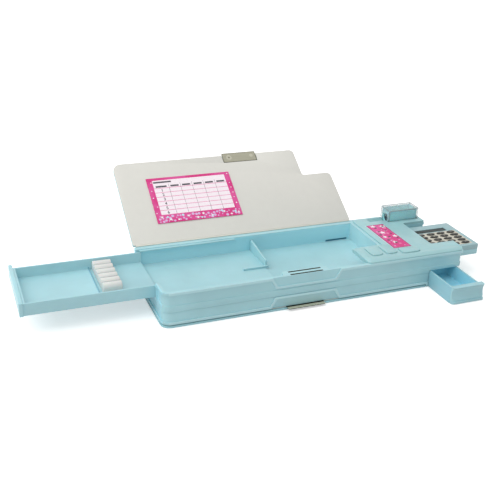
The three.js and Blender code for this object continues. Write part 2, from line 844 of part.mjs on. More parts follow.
function calculatorFace() {
  const body = softPlate(calculatorOutline(), calculatorSplit, calculatorTop, calculatorBevel);
  const display = block(displayLeft - fitGap, displayLeft + displayLength + fitGap,
    displayFront - fitGap, displayFront + displayDepth + fitGap,
    calculatorTop - displaySheet - fitGap, calculatorTop + overrun);
  const keyFloor = calculatorTop - keySink - keyTravel - fitGap;
  const wells = keyNames.map(({ centre }) =>
    oval(centre, keyGap, keyFloor, calculatorTop + overrun));
  return cut(body, display, ...wells);
}

function calculatorPieces() {
  const pieces = [
    toMesh('calculator_back', plate(calculatorOutline(), calculatorBottom, calculatorSplit), aqua()),
    toMesh('calculator_face', calculatorFace(), aqua()),
    toMesh('calculator_display', block(displayLeft, displayLeft + displayLength, displayFront,
      displayFront + displayDepth, calculatorTop - displaySheet - fitGap,
      calculatorTop - fitGap), plastic(0x4a5a5a, 0.2)),
  ];
  const keys = keyNames.map(({ name, centre }) => toMesh(name,
    oval(centre, 0, calculatorTop - keySink, calculatorTop + keyRise), plastic(0x2c2b24, 0.5)));
  return [...pieces, ...keys];
}

// Sharpener. The wedge's top slopes with the pencil's bore, which opens through it as a slot, and
// the blade lies on that slope with its edge along the slot.
const baseLeft = sharpenerLeft + coverWall + fitGap;
const baseRight = sharpenerRight - coverWall - fitGap;
const baseFront = sharpenerFront + coverWall + fitGap;
const baseBack = sharpenerBack - coverWall - fitGap;
const coverCeiling = sharpenerTop - coverWall;
const wedgeLeft = baseLeft + sharpenerWall + fitGap;
const wedgeRight = wedgeLeft + wedgeLength;
const wedgeLow = sharpenerFoot + sharpenerFloor;
const wedgeLeftTop = pencilHoleZ + pencilHoleRadius - slotSink;
const wedgeRightTop = pencilHoleZ + pencilTipRadius - slotSink;
const wedgeSlope = Math.atan2(wedgeLeftTop - wedgeRightTop, wedgeLength);
const pencilY = (sharpenerFront + sharpenerBack) / 2;

function pencilBore() {
  return rodX(pencilHoleRadius, pencilTipRadius, wedgeLeft, wedgeRight, pencilY, pencilHoleZ,
    pencilHoleSides);
}

function pencilHole() {
  return rodX(pencilHoleRadius, pencilHoleRadius, sharpenerLeft - overrun, wedgeLeft,
    pencilY, pencilHoleZ, pencilHoleSides);
}

function sharpenerBase() {
  return cut(
    block(baseLeft, baseRight, baseFront, baseBack, sharpenerFoot, coverCeiling - fitGap),
    block(baseLeft + sharpenerWall, baseRight - sharpenerWall, baseFront + sharpenerWall,
      baseBack - sharpenerWall, wedgeLow, sharpenerTop),
    pencilHole(),
  );
}

// A piece drawn on the wedge's sloping top, with its left end at X = 0 and its underside at Z = 0
function onSlope(solid) {
  const turned = solid.rotate([0, THREE.MathUtils.radToDeg(wedgeSlope), 0]);
  return turned.translate([wedgeLeft, pencilY, wedgeLeftTop]);
}

function sharpenerWedge() {
  const front = baseFront + sharpenerWall + fitGap;
  const back = baseBack - sharpenerWall - fitGap;
  return cut(
    alongY(points([
      [wedgeLeft, wedgeLow], [wedgeRight, wedgeLow],
      [wedgeRight, wedgeRightTop], [wedgeLeft, wedgeLeftTop],
    ]), front, back),
    pencilBore(),
    onSlope(rodZ(screwRadius + fitGap, screwAlong, screwAcross, -screwDepth, overrun, screwSides)),
  );
}

function sharpenerBlade() {
  return onSlope(cut(
    block(bladeInset, bladeInset + bladeLength, -bladeGap, bladeWidth, bladeGap,
      bladeGap + bladeSheet),
    rodZ(screwRadius + fitGap, screwAlong, screwAcross, -overrun, overrun, screwSides),
  ));
}

function bladeScrew() {
  const low = 2 * bladeGap + bladeSheet;
  const high = low + screwHead;
  return onSlope(cut(
    join(
      rodZ(screwHeadRadius, screwAlong, screwAcross, low, high, screwSides),
      rodZ(screwRadius, screwAlong, screwAcross, fitGap - screwDepth, high, screwSides),
    ),
    block(screwAlong - screwHeadRadius, screwAlong + screwHeadRadius, screwAcross - screwSlot / 2,
      screwAcross + screwSlot / 2, high - screwHead / 2, high + overrun),
  ));
}

function sharpenerCover() {
  return cut(
    softPlate(rectangle(sharpenerLeft, sharpenerRight, sharpenerFront, sharpenerBack, coverWall),
      sharpenerTop - coverSkirt, sharpenerTop, coverWall / 2),
    block(sharpenerLeft + coverWall, sharpenerRight - coverWall, sharpenerFront + coverWall,
      sharpenerBack - coverWall, sharpenerTop - coverSkirt - overrun, coverCeiling),
    pencilHole(),
  );
}

// Coil spring between the bay's floor and the sharpener's base
function sharpenerSpring() {
  const low = bayFloor + springWire;
  const rise = sharpenerFoot - springWire - low;
  const count = Math.round(springTurns * springStepsPerTurn);
  const rings = Array.from({ length: count + 1 }, (_, step) => {
    const angle = 2 * Math.PI * step / springStepsPerTurn;
    const outward = new THREE.Vector3(Math.cos(angle), Math.sin(angle), 0);
    const centre = outward.clone().multiplyScalar(springRadius)
      .add(new THREE.Vector3((baseLeft + baseRight) / 2, pencilY, low + rise * step / count));
    return Array.from({ length: springSides }, (_, side) => {
      const turn = 2 * Math.PI * side / springSides;
      return centre.clone().addScaledVector(outward, springWire * Math.cos(turn))
        .add(new THREE.Vector3(0, 0, springWire * Math.sin(turn)));
    });
  });
  const index = [];
  rings.slice(1).forEach((_, ring) => {
    for (let side = 0; side < springSides; side += 1) {
      const next = (side + 1) % springSides;
      const [a, b] = [ring * springSides + side, ring * springSides + next];
      const [c, d] = [a + springSides, b + springSides];
      index.push(a, d, b, a, c, d);
    }
  });
  for (let side = 1; side < springSides - 1; side += 1) {
    const last = count * springSides;
    index.push(0, side, side + 1, last, last + side + 1, last + side);
  }
  const geometry = new THREE.BufferGeometry().setFromPoints(rings.flat()).setIndex(index);
  return toSolid(geometry);
}

function sharpenerPieces() {
  const clear = plastic(0xd6dcdf, 0.1);
  clear.transparent = true;
  clear.opacity = 0.35;
  return [
    toMesh('sharpener_base', sharpenerBase(), aqua()),
    toMesh('sharpener_insert', sharpenerWedge(), pearl()),
    toMesh('sharpener_blade', sharpenerBlade(), steel()),
    toMesh('sharpener_screw', bladeScrew(), steel()),
    toMesh('sharpener_cover', sharpenerCover(), clear),
    toMesh('sharpener_spring', sharpenerSpring(), steel()),
  ];
}

// Groups that carry each moving assembly to the open pose
function carried(pieces, x = 0, y = 0, z = 0) {
  const group = new THREE.Group();
  group.position.set(x, y, z);
  group.add(...pieces);
  return group;
}

function topLid() {
  const pieces = lidPieces('top_lid', topLidOutline(), topLidOutline(), 1, topStrikeReach);
  pieces.push(toMesh('timetable_card', timetableCard(), plastic(0xe0459b, 0.4)));
  const group = carried(pieces, 0, hingeY, topHingeZ);
  group.rotation.x = -lidOpenAngle;
  return group;
}

function bottomLid() {
  const pieces = lidPieces('bottom_lid', bottomLidOutline(0), bottomLidOutline(bottomLinerInset),
    -1, bottomStrikeReach);
  return carried(pieces, 0, hingeY, bottomHingeZ);
}

const caseGroup = carried([
  toMesh('upper_case', upperCase(), aqua()),
  toMesh('lower_case', lowerCase(), aqua()),
  toMesh('spine_cover', spineCover(), aqua()),
  toMesh('compartment_divider', divider(), aqua()),
  toMesh('deck_panel', deckPanel(), aqua()),
  toMesh('deck_label', deckLabel(), plastic(0xe0459b, 0.4)),
  ...magnetPieces('upper', rimHeight, -1),
  ...magnetPieces('lower', caseBottom, 1),
  ...buttons.map((button) => toMesh(button.name, buttonTongue(button), aqua())),
]);

const pencilBox = new THREE.Group();
pencilBox.position.set(-boxLength / 2, -boxDepth / 2, 0);
pencilBox.add(
  caseGroup,
  topLid(),
  bottomLid(),
  carried([
    toMesh('side_tray', sideTray(), aqua()),
    toMesh('pencil_holder', pencilHolder(), plastic(0xf2f1ec, 0.5)),
  ], -trayTravel),
  carried([toMesh('front_drawer', frontDrawer(), aqua())], 0, -drawerTravel),
  carried(calculatorPieces(), calculatorTravel),
  carried(sharpenerPieces()),
);

export default pencilBox;
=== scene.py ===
"""Looks, light and camera for a two-sided magnetic pencil box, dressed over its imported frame."""

from __future__ import annotations

import json
import logging
import math
from dataclasses import dataclass, replace
from enum import Enum
from typing import ClassVar, Sequence

import bmesh
import bpy
from bpy.types import Material, Mesh, Node, NodeSocket, NodeTree, Object
from mathutils import Matrix, Vector

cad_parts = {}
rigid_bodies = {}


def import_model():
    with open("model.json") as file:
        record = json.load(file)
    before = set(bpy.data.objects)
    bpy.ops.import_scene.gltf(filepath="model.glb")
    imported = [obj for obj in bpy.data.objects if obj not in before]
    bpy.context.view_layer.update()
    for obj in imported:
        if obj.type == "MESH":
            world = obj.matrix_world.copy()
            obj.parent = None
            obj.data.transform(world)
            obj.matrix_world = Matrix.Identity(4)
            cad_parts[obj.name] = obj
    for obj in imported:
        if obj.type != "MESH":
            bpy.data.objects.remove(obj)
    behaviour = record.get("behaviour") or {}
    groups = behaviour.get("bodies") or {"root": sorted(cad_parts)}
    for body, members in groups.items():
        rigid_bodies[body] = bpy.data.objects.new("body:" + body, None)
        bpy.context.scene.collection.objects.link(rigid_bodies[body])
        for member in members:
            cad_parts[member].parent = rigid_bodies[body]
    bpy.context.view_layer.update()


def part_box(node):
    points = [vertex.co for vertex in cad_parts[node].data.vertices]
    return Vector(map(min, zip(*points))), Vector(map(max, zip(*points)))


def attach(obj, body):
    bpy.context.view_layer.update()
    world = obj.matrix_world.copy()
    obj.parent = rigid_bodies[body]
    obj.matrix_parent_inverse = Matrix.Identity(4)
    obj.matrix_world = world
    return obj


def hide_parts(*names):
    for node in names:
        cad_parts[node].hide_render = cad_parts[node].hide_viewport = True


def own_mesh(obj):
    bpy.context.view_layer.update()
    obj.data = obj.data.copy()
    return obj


LOG = logging.getLogger("pencil_box")
MM = 0.001
NOISE_BAND = (0.3, 0.7)
GRAIN_SCALE = 2600.0

Triple = tuple[float, float, float]
Sides = Sequence[float]
Outline = Sequence[tuple[float, float]]


def linear(shade: str, factor: float = 1.0) -> Triple:
    """Turn a six-digit colour into linear red, green and blue.

    Args:
        shade: The colour as it is seen, such as "A9D2D9".
        factor: What each part is multiplied by, up to 1.

    Returns:
        The linear colour.
    """
    knee, slope = 0.04045, 12.92
    parts = (int(shade[at:at + 2], 16) / 255 for at in (0, 2, 4))
    return tuple(min(1.0, factor * (part / slope if part <= knee
                                    else ((part + 0.055) / 1.055) ** 2.4)) for part in parts)


# Building blocks for node trees


class Wiring:
    """A small helper that adds and joins nodes in one tree."""

    def __init__(self, tree: NodeTree) -> None:
        """Keep the tree to work on."""
        self.tree = tree

    def feed(self, value: object, target: NodeSocket) -> None:
        """Link a socket to an input, or set a plain value on it.

        Args:
            value: The socket or the value.
            target: The input.
        """
        if isinstance(value, NodeSocket):
            self.tree.links.new(value, target)
        else:
            target.default_value = value

    def add(self, kind: str, *values: object, **settings: object) -> Node:
        """Add a node, set its properties, and set or link its inputs.

        Args:
            kind: The node's Blender type.
            values: Values or sockets for its first inputs.
            settings: Properties, or inputs with spaces written as underscores.

        Returns:
            The new node.
        """
        node = self.tree.nodes.new(kind)
        for key, value in settings.items():
            if hasattr(node, key):
                setattr(node, key, value)
            else:
                self.feed(value, node.inputs[key.replace("_", " ")])
        for value, socket in zip(values, node.inputs):
            self.feed(value, socket)
        return node

    def maths(self, operation: str, *values: object) -> NodeSocket:
        """Add a Math node on numbers or sockets."""
        return self.add("ShaderNodeMath", *values, operation=operation).outputs[0]

    def blend(self, factor: NodeSocket, *colors: object) -> NodeSocket:
        """Mix two colours.

        Args:
            factor: How much of the second colour shows.
            colors: The two colours, each a socket or linear.

        Returns:
            The mixed colour's socket.
        """
        color_inputs, color_output = slice(6, 8), 2
        node = self.add("ShaderNodeMix", factor, data_type="RGBA")
        for value, socket in zip(colors, node.inputs[color_inputs]):
            self.feed(value if isinstance(value, NodeSocket) else (*value, 1.0), socket)
        return node.outputs[color_output]

    def place(self) -> NodeSocket:
        """Give the object's own coordinates."""
        return self.add("ShaderNodeTexCoord").outputs["Object"]

    def axes(self) -> Sequence[NodeSocket]:
        """Give X, Y and Z of the object's own coordinates."""
        return self.add("ShaderNodeSeparateXYZ", self.place()).outputs[:]

    def inward(self, axis: NodeSocket, low: float, high: float) -> NodeSocket:
        """Give how far inside two limits a coordinate is."""
        return self.maths("MINIMUM", self.maths("SUBTRACT", axis, low),
                          self.maths("SUBTRACT", high, axis))

    def noise(self, scale: float, detail: float = 2.0, stretch: Triple = (1, 1, 1)) -> NodeSocket:
        """Add a noise texture on the object's own coordinates, stretched along each axis."""
        place = self.add("ShaderNodeMapping", self.place(), Scale=stretch).outputs["Vector"]
        return self.add("ShaderNodeTexNoise", place, Scale=scale, Detail=detail).outputs[0]

    def spread(self, value: NodeSocket, start: float = 0.0, end: float = 1.0,
               band: tuple[float, float] = NOISE_BAND) -> NodeSocket:
        """Map a band of a value to the range from start to end, clamped."""
        return self.add("ShaderNodeMapRange", value, *band, start, end).outputs["Result"]

    def mottled(self, value: NodeSocket, first: Triple, second: Triple,
                band: tuple[float, float] = NOISE_BAND) -> NodeSocket:
        """Mix two colours over a band of a noise."""
        return self.blend(self.spread(value, band=band), first, second)

    def seen(self) -> NodeSocket:
        """Give 1 to rays from the camera, from gloss and through glass, and 0 to others.

        Returns:
            The value's socket.
        """
        paths = self.add("ShaderNodeLightPath").outputs
        return self.maths("MAXIMUM", paths["Is Camera Ray"], self.maths(
            "MAXIMUM", paths["Is Glossy Ray"], paths["Is Transmission Ray"]))


class Shading(Wiring):
    """The wiring of a new material with a Principled shader."""

    def __init__(self, name: str, **inputs: object) -> None:
        """Make the material.

        Args:
            name: The material's name.
            inputs: The shader's plain values, with spaces written as underscores.
        """
        self.material = bpy.data.materials.new(name)
        self.material.use_nodes = True
        super().__init__(self.material.node_tree)
        self.shader = self.tree.nodes["Principled BSDF"]
        self.set(**inputs)

    def set(self, **inputs: object) -> None:
        """Set or link the shader's inputs, with spaces written as underscores."""
        for key, value in inputs.items():
            self.feed(value, self.shader.inputs[key.replace("_", " ")])

    def bump(self, height: NodeSocket, strength: float, distance: float) -> None:
        """Give the shader a bump from a height."""
        node = self.add("ShaderNodeBump", Height=height, Strength=strength, Distance=distance)
        self.set(Normal=node.outputs["Normal"])

    def painted(self, shade: NodeSocket, areas: Sequence[Area]) -> NodeSocket:
        """Lay areas of other colours over a shade.

        Args:
            shade: The shade's socket.
            areas: The areas, the last one on top.

        Returns:
            The colour's socket.
        """
        for area in areas:
            shade = self.blend(area.inside(self), shade, linear(area.color))
        return shade


# Finishes


@dataclass(frozen=True)
class Area:
    """A box in the row frame whose faces take another colour, open on the sides left out."""

    color: str
    low: Sequence[float] = (-1, -1, -1)
    high: Sequence[float] = (1, 1, 1)

    def inside(self, wiring: Wiring) -> NodeSocket:
        """Give 1 inside the box and 0 outside it.

        Args:
            wiring: The material's wiring.

        Returns:
            The value's socket.
        """
        value: object = 1.0
        for axis, low, high in zip(wiring.axes(), self.low, self.high):
            value = wiring.maths("MULTIPLY", value, wiring.maths("GREATER_THAN", axis, low))
            value = wiring.maths("MULTIPLY", value, wiring.maths("LESS_THAN", axis, high))
        return value


@dataclass(frozen=True)
class Finish:
    """A finish, whose material is made when it is first asked for."""

    name: str
    color: str
    made: ClassVar[dict[str, Material]] = {}

    def material(self) -> Material:
        """Give the finish's material.

        Returns:
            The material, the same one each time.
        """
        if self.name not in self.made:
            self.made[self.name] = self.shading().material
        return self.made[self.name]

    def shading(self) -> Shading:
        """Make the material and wire its shader, as each kind of finish does in its own way."""
        raise NotImplementedError


@dataclass(frozen=True)
class MouldedPlastic(Finish):
    """Moulded plastic: faint clouding in the colour and a fine satin grain."""

    roughness: float = 0.36
    clouding: float = 0.05
    grain: float = 0.12
    glow: float = 0.0
    areas: tuple[Area, ...] = ()

    def shading(self) -> Shading:
        """Wire the clouding, the areas and the grain.

        Returns:
            The new material's shading.
        """
        look = Shading(self.name, IOR=1.49, Specular_IOR_Level=0.5, Subsurface_Weight=self.glow,
                       Subsurface_Scale=1.5 * MM, Coat_Weight=0.06, Coat_Roughness=0.25)
        cloud, grain = look.noise(34.0, detail=3.0), look.noise(GRAIN_SCALE)
        shade = look.mottled(cloud, linear(self.color, 1 - self.clouding),
                             linear(self.color, 1 + self.clouding))
        look.set(Base_Color=look.painted(shade, self.areas),
                 Roughness=look.spread(grain, self.roughness - 0.05, self.roughness + 0.06))
        look.bump(grain, strength=self.grain, distance=0.03 * MM)
        return look


@dataclass(frozen=True)
class LinerSheet(Finish):
    """Off-white sheet inside the lids: smooth, with a faint fibre mottle."""

    def shading(self) -> Shading:
        """Wire the mottle.

        Returns:
            The new material's shading.
        """
        look = Shading(self.name, IOR=1.46, Specular_IOR_Level=0.4)
        fibre, patch = look.noise(160.0, detail=5.0), look.noise(12.0)
        mixed = look.maths("ADD", look.maths("MULTIPLY", fibre, 0.35),
                           look.maths("MULTIPLY", patch, 0.65))
        look.set(Base_Color=look.mottled(mixed, linear(self.color, 0.955), linear(self.color),
                                         (0.35, 0.65)),
                 Roughness=look.spread(fibre, start=0.42, end=0.56, band=(0.2, 0.8)))
        look.bump(fibre, strength=0.1, distance=0.05 * MM)
        return look


class Grain(Enum):
    """Which way a metal's brushing runs."""

    ALONG = (8.0, 900.0, 900.0)
    ACROSS = (900.0, 8.0, 900.0)


@dataclass(frozen=True)
class BrushedMetal(Finish):
    """Rolled or brushed metal with fine streaks one way."""

    roughness: float
    streak: float = 0.16
    grain: Grain = Grain.ALONG
    areas: tuple[Area, ...] = ()

    def shading(self) -> Shading:
        """Wire the streaks and the areas.

        Returns:
            The new material's shading.
        """
        look = Shading(self.name, Metallic=0.92)
        streaks = look.noise(1.0, detail=4.0, stretch=self.grain.value)
        shade = look.mottled(streaks, linear(self.color, 1 - self.streak), linear(self.color))
        look.set(Base_Color=look.painted(shade, self.areas),
                 Roughness=look.spread(streaks, self.roughness - 0.08, self.roughness + 0.1))
        look.bump(streaks, strength=0.12, distance=0.02 * MM)
        return look


@dataclass(frozen=True)
class SinteredBlock(Finish):
    """Dull, slightly pitted magnet block."""

    def shading(self) -> Shading:
        """Wire the pits.

        Returns:
            The new material's shading.
        """
        look = Shading(self.name, Specular_IOR_Level=0.35)
        pits = look.noise(1500.0, detail=4.0)
        look.set(Base_Color=look.mottled(pits, linear(self.color), linear(self.color, 1.7),
                                         (0.35, 0.75)),
                 Roughness=look.spread(pits, start=0.6, end=0.85))
        look.bump(pits, strength=0.35, distance=0.08 * MM)
        return look


@dataclass(frozen=True)
class PrintedFilm(Finish):
    """Glossy printed film with a faint halftone in its colour."""

    second: str
    patch_scale: float = 90.0
    dot_scale: float = 3200.0

    def shading(self) -> Shading:
        """Wire the patches and the halftone's dots.

        Returns:
            The new material's shading.
        """
        look = Shading(self.name, Roughness=0.5, IOR=1.5, Specular_IOR_Level=0.25,
                       Coat_Weight=0.08, Coat_Roughness=0.2)
        patch = look.noise(self.patch_scale)
        halftone = look.add("ShaderNodeTexVoronoi", look.place(), Scale=self.dot_scale)
        mixed = look.maths("ADD", look.spread(patch, end=0.85, band=(0.42, 0.62)),
                           look.spread(halftone.outputs["Distance"], end=0.25, band=(0.1, 0.6)))
        look.set(Base_Color=look.blend(mixed, linear(self.color), linear(self.second)))
        look.bump(patch, strength=0.04, distance=0.05 * MM)
        return look


@dataclass(frozen=True)
class FlatInk(Finish):
    """One printed ink, with a trace of uneven cover."""

    def shading(self) -> Shading:
        """Wire the cover.

        Returns:
            The new material's shading.
        """
        look = Shading(self.name, Roughness=0.35, Coat_Weight=0.2)
        full, lift, haze = linear(self.color), 1.06, 0.004
        pale = tuple(min(1.0, part * lift + haze) for part in full)
        look.set(Base_Color=look.mottled(look.noise(700.0), full, pale))
        return look


@dataclass(frozen=True)
class ClearPlastic(Finish):
    """Clear, slightly smoky moulded plastic that lets light straight through."""

    rim_shade_color: str
    low: Vector
    high: Vector
    rim: float = 1.1 * MM
    rim_cover: float = 0.75
    least: float = 0.04
    most: float = 0.42

    def shading(self) -> Shading:
        """Wire the smoke, the painted rim shade and the cover.

        Returns:
            The new material's shading.
        """
        look = Shading(self.name, IOR=1.49, Specular_IOR_Level=0.5, Coat_Weight=0.4,
                       Coat_Roughness=0.05)
        swirl, edge = look.noise(120.0), self.edges(look)
        shade = look.blend(swirl, linear(self.color, 0.9), linear(self.color))
        slant = look.add("ShaderNodeLayerWeight", Blend=0.5).outputs["Facing"]
        cover = look.maths("MAXIMUM", look.spread(slant, self.least, self.most, (0.2, 0.8)),
                           look.maths("MULTIPLY", edge, self.rim_cover))
        # Painted shade: the rims are darker and more opaque, for the light bent at the edges.
        look.set(Base_Color=look.blend(edge, shade, linear(self.rim_shade_color)), Alpha=cover,
                 Roughness=look.spread(swirl, start=0.06, end=0.14))
        return look

    def edges(self, wiring: Wiring) -> NodeSocket:
        """Give 1 along the box's outer edges, where a darker, more opaque rim is painted for the
        light the edges bend, and 0 elsewhere.

        Args:
            wiring: The material's wiring.

        Returns:
            The value's socket.
        """
        near: object = 0.0
        for limits in zip(wiring.axes(), self.low, self.high):
            near = wiring.maths("ADD", near,
                                wiring.maths("LESS_THAN", wiring.inward(*limits), self.rim))
        more_than_one = 1.5
        return wiring.maths("GREATER_THAN", near, more_than_one)


@dataclass(frozen=True)
class CrystalWindow(Finish):
    """Liquid crystal window: dark glass over a green-grey screen, darker at its edge."""

    border: str
    low: Vector
    high: Vector
    border_width: float = 0.7 * MM

    def shading(self) -> Shading:
        """Wire the screen's haze and the border.

        Returns:
            The new material's shading.
        """
        look = Shading(self.name, Roughness=0.45, IOR=1.5, Specular_IOR_Level=0.25,
                       Coat_Weight=0.08, Coat_Roughness=0.2)
        x, y, _ = (look.inward(*limits) for limits in zip(look.axes(), self.low, self.high))
        inside = look.spread(look.maths("MINIMUM", x, y),
                             band=(0.6 * self.border_width, self.border_width))
        screen = look.mottled(look.noise(90.0), linear(self.color), linear(self.color, 1.3))
        look.set(Base_Color=look.blend(inside, linear(self.border), screen))
        return look


@dataclass(frozen=True)
class KeypadFace(Finish):
    """Calculator face: moulded plastic with a printed panel round the keys."""

    panel: Area

    def shading(self) -> Shading:
        """Wire the plastic and the panel.

        Returns:
            The new material's shading.
        """
        look = Shading(self.name, IOR=1.49, Coat_Weight=0.08, Coat_Roughness=0.2)
        cloud, grain = look.noise(60.0, detail=3.0), look.noise(GRAIN_SCALE)
        body = look.mottled(cloud, linear(self.color), linear(self.color, 1.05))
        panel = look.mottled(cloud, linear(self.panel.color, 0.94), linear(self.panel.color))
        look.set(Base_Color=look.blend(self.panel.inside(look), body, panel),
                 Roughness=look.spread(grain, start=0.3, end=0.42))
        look.bump(grain, strength=0.1, distance=0.03 * MM)
        return look


def aqua(name: str, shade: str, *areas: Area) -> MouldedPlastic:
    """Give the finish of a glossy aqua moulding, with areas of other colours."""
    return MouldedPlastic(f"aqua_{name}", shade, glow=0.05, areas=areas)


MOULDED = aqua("moulded", "A8D5DC")
# The deck's aqua is painted a little darker and greyer than the case's, as painted shade for the
# weaker light on it.
DECK = aqua("deck", "A1CCD0")
COVER = MouldedPlastic("aqua_cover", "A2D2DA", roughness=0.45, grain=0.3)
SPINE = replace(COVER, name="aqua_spine", areas=(Area("E2E0D5", low=(-1, 0, 28.35 * MM)),))
RUBBER = MouldedPlastic("key_rubber", "1F201A", roughness=0.42, clouding=0.12)
LINER = LinerSheet("pearl_liner", "DFDED7")
STRIKE = BrushedMetal("strike_steel", "AEAC9A", 0.42)
POLE = BrushedMetal("pole_steel", "1C231E", 0.5)
# The next two are steel painted dark for shade and steel painted pale for a highlight.
SHADED_STEEL = BrushedMetal("dimple_steel", "8A8777", 0.5)
HIGHLIGHT_STEEL = BrushedMetal("dimple_rim_steel", "C3C1B0", 0.4)
BLADE = BrushedMetal("blade_steel", "D8D8D6", 0.22, grain=Grain.ACROSS)
FERRITE = SinteredBlock("ferrite", "3A3936")
PINK = PrintedFilm("pink_film", "D8307F", "E25A9E")
WHITE = FlatInk("white_ink", "F6F0F4")
LILAC = FlatInk("lilac_ink", "D9B6DE")
PLUM = FlatInk("plum_ink", "3A2138")
ROSE = FlatInk("rose_ink", "E36FA6")
BERRY = FlatInk("berry_ink", "8E2F64")
GREY = FlatInk("grey_ink", "4B4650")
SKY = FlatInk("sky_ink", "BFE3EE")
PAPER = FlatInk("sheet_ink", "F8EDF3")
LEGEND = FlatInk("legend_ink", "9A9683")


# Shapes


def placed(name: str, data: bpy.types.ID) -> Object:
    """Make an object and link it into the scene.

    Args:
        name: Its name.
        data: Its mesh, curve, lamp or camera.

    Returns:
        The new object.
    """
    made = bpy.data.objects.new(name, data)
    bpy.context.scene.collection.objects.link(made)
    return made


def finished(mesh: Mesh, finish: Finish) -> None:
    """Make a finish a mesh's only one."""
    mesh.materials.clear()
    mesh.materials.append(finish.material())


def as_piece(name: str, mesh: Mesh, finish: Finish, body: str,
             replaced: Sequence[str] = ()) -> Object:
    """Put a mesh into the scene as a piece of the object.

    Args:
        name: The piece's name.
        mesh: Its mesh, in the row frame.
        finish: Its finish.
        body: The body that it rides on.
        replaced: The CAD nodes that it stands for.

    Returns:
        The new object.
    """
    finished(mesh, finish)
    piece = placed(name, mesh)
    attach(piece, body)
    if replaced:
        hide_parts(*replaced)
    LOG.info("%s rides on %s, %d faces", name, body, len(mesh.polygons))
    return piece


def evaluated_mesh(maker: Object, name: str) -> Mesh:
    """Turn an object with live modifiers into a plain mesh and delete the object.

    Args:
        maker: The object.
        name: The new mesh's name.

    Returns:
        The plain mesh.
    """
    graph = bpy.context.evaluated_depsgraph_get()
    mesh = bpy.data.meshes.new_from_object(maker.evaluated_get(graph))
    mesh.name = name
    bpy.data.objects.remove(maker)
    return mesh


@dataclass(frozen=True)
class Softening:
    """How a moulded piece's edges are rounded."""

    width: float = 0.35 * MM
    segments: int = 3
    edge_angle: float = math.radians(28)
    weld: float = 0.002 * MM
    flat: float = math.radians(0.6)
    crisp: float = math.radians(32)

    def of_node(self, node: str) -> Mesh:
        """Copy a CAD node's mesh, round its edges and shade it smooth.

        Args:
            node: The CAD node's name.

        Returns:
            The new mesh, in the row frame.
        """
        work = bmesh.new()
        work.from_mesh(bpy.data.objects[node].data)
        bmesh.ops.remove_doubles(work, verts=work.verts, dist=self.weld)
        bmesh.ops.dissolve_limit(work, angle_limit=self.flat, verts=work.verts, edges=work.edges,
                                 delimit={"NORMAL"})
        bmesh.ops.recalc_face_normals(work, faces=work.faces)
        base = bpy.data.meshes.new(f"{node}_base")
        work.to_mesh(base)
        work.free()
        maker = placed(f"{node}_maker", base)
        rounding = maker.modifiers.new("rounding", "BEVEL")
        rounding.width = self.width
        rounding.segments = self.segments
        rounding.limit_method = "ANGLE"
        rounding.angle_limit = self.edge_angle
        mesh = evaluated_mesh(maker, f"{node}_soft")
        mesh.polygons.foreach_set("use_smooth", [True] * len(mesh.polygons))
        mesh.set_sharp_from_angle(angle=self.crisp)
        return mesh

    def dress(self, node: str, name: str, finish: Finish, body: str, slot: str) -> None:
        """Put a node's rounded mesh into the scene in the node's place."""
        as_piece(name, self.of_node(node), finish, body, [node])


THIN_SHEET = Softening(width=0.12 * MM, segments=2)


def sheet(name: str, outline: Outline, low: float, high: float,
          place: Matrix = Matrix.Identity(4)) -> Mesh:
    """Make a thin sheet with an outline between two heights.

    Args:
        name: The mesh's name.
        outline: The corners, anticlockwise from above.
        low: The underside's height.
        high: The top's height.
        place: Takes the sheet to the row frame.

    Returns:
        The closed mesh.
    """
    count = len(outline)
    points = [place @ Vector((x, y, z)) for z in (low, high) for x, y in outline]
    faces = [list(range(count))[::-1], list(range(count, 2 * count))]
    faces += [[at, (at + 1) % count, (at + 1) % count + count, at + count]
              for at in range(count)]
    mesh = bpy.data.meshes.new(name)
    mesh.from_pydata(points, [], faces)
    mesh.update()
    return mesh


def inset(sides: Sides, edges: Sides) -> Sides:
    """Move left, right, near and far sides in by their edges."""
    return [side + way * edge for side, way, edge in zip(sides, (1, -1, 1, -1), edges)]


def rectangle(sides: Sides, radius: float = 0.0, steps: int = 4) -> Outline:
    """Give a rectangle's corners, rounded if a radius is given.

    Args:
        sides: Its left, right, near and far side.
        radius: The corner radius.
        steps: The steps of each corner.

    Returns:
        The points, anticlockwise.
    """
    left, right, near, far = sides
    if radius == 0:
        return [(left, near), (right, near), (right, far), (left, far)]
    corners = [(right - radius, near + radius, -90), (right - radius, far - radius, 0),
               (left + radius, far - radius, 90), (left + radius, near + radius, 180)]
    return [(x + radius * math.cos(math.radians(start + 90 * step / steps)),
             y + radius * math.sin(math.radians(start + 90 * step / steps)))
            for x, y, start in corners for step in range(steps + 1)]


def star(inner: float, tips: int) -> Outline:
    """Give the points of a star 1 in radius, anticlockwise, or a round shape's for inner 1."""
    return [((1.0, inner)[at % 2] * math.cos(math.pi * at / tips),
             (1.0, inner)[at % 2] * math.sin(math.pi * at / tips)) for at in range(2 * tips)]


def lettering(text: str, size: float, place: Matrix, ink: float, name: str) -> Mesh:
    """Make a sign, such as a digit, as a thin mesh.

    Args:
        text: The sign.
        size: Its height.
        place: Where its middle goes, with up as its local Z.
        ink: The ink's thickness.
        name: The mesh's name.

    Returns:
        The mesh, in the row frame.
    """
    boldness = 0.02
    curve = bpy.data.curves.new(name, "FONT")
    curve.body = text
    curve.size = size
    curve.align_x, curve.align_y = "CENTER", "CENTER"
    curve.offset = boldness * size
    curve.extrude = ink / 2
    curve.resolution_u = 3
    mesh = evaluated_mesh(placed(f"{name}_maker", curve), name)
    mesh.transform(place @ Matrix.Translation((0, 0, ink / 2)))
    return mesh


# Geometry Nodes


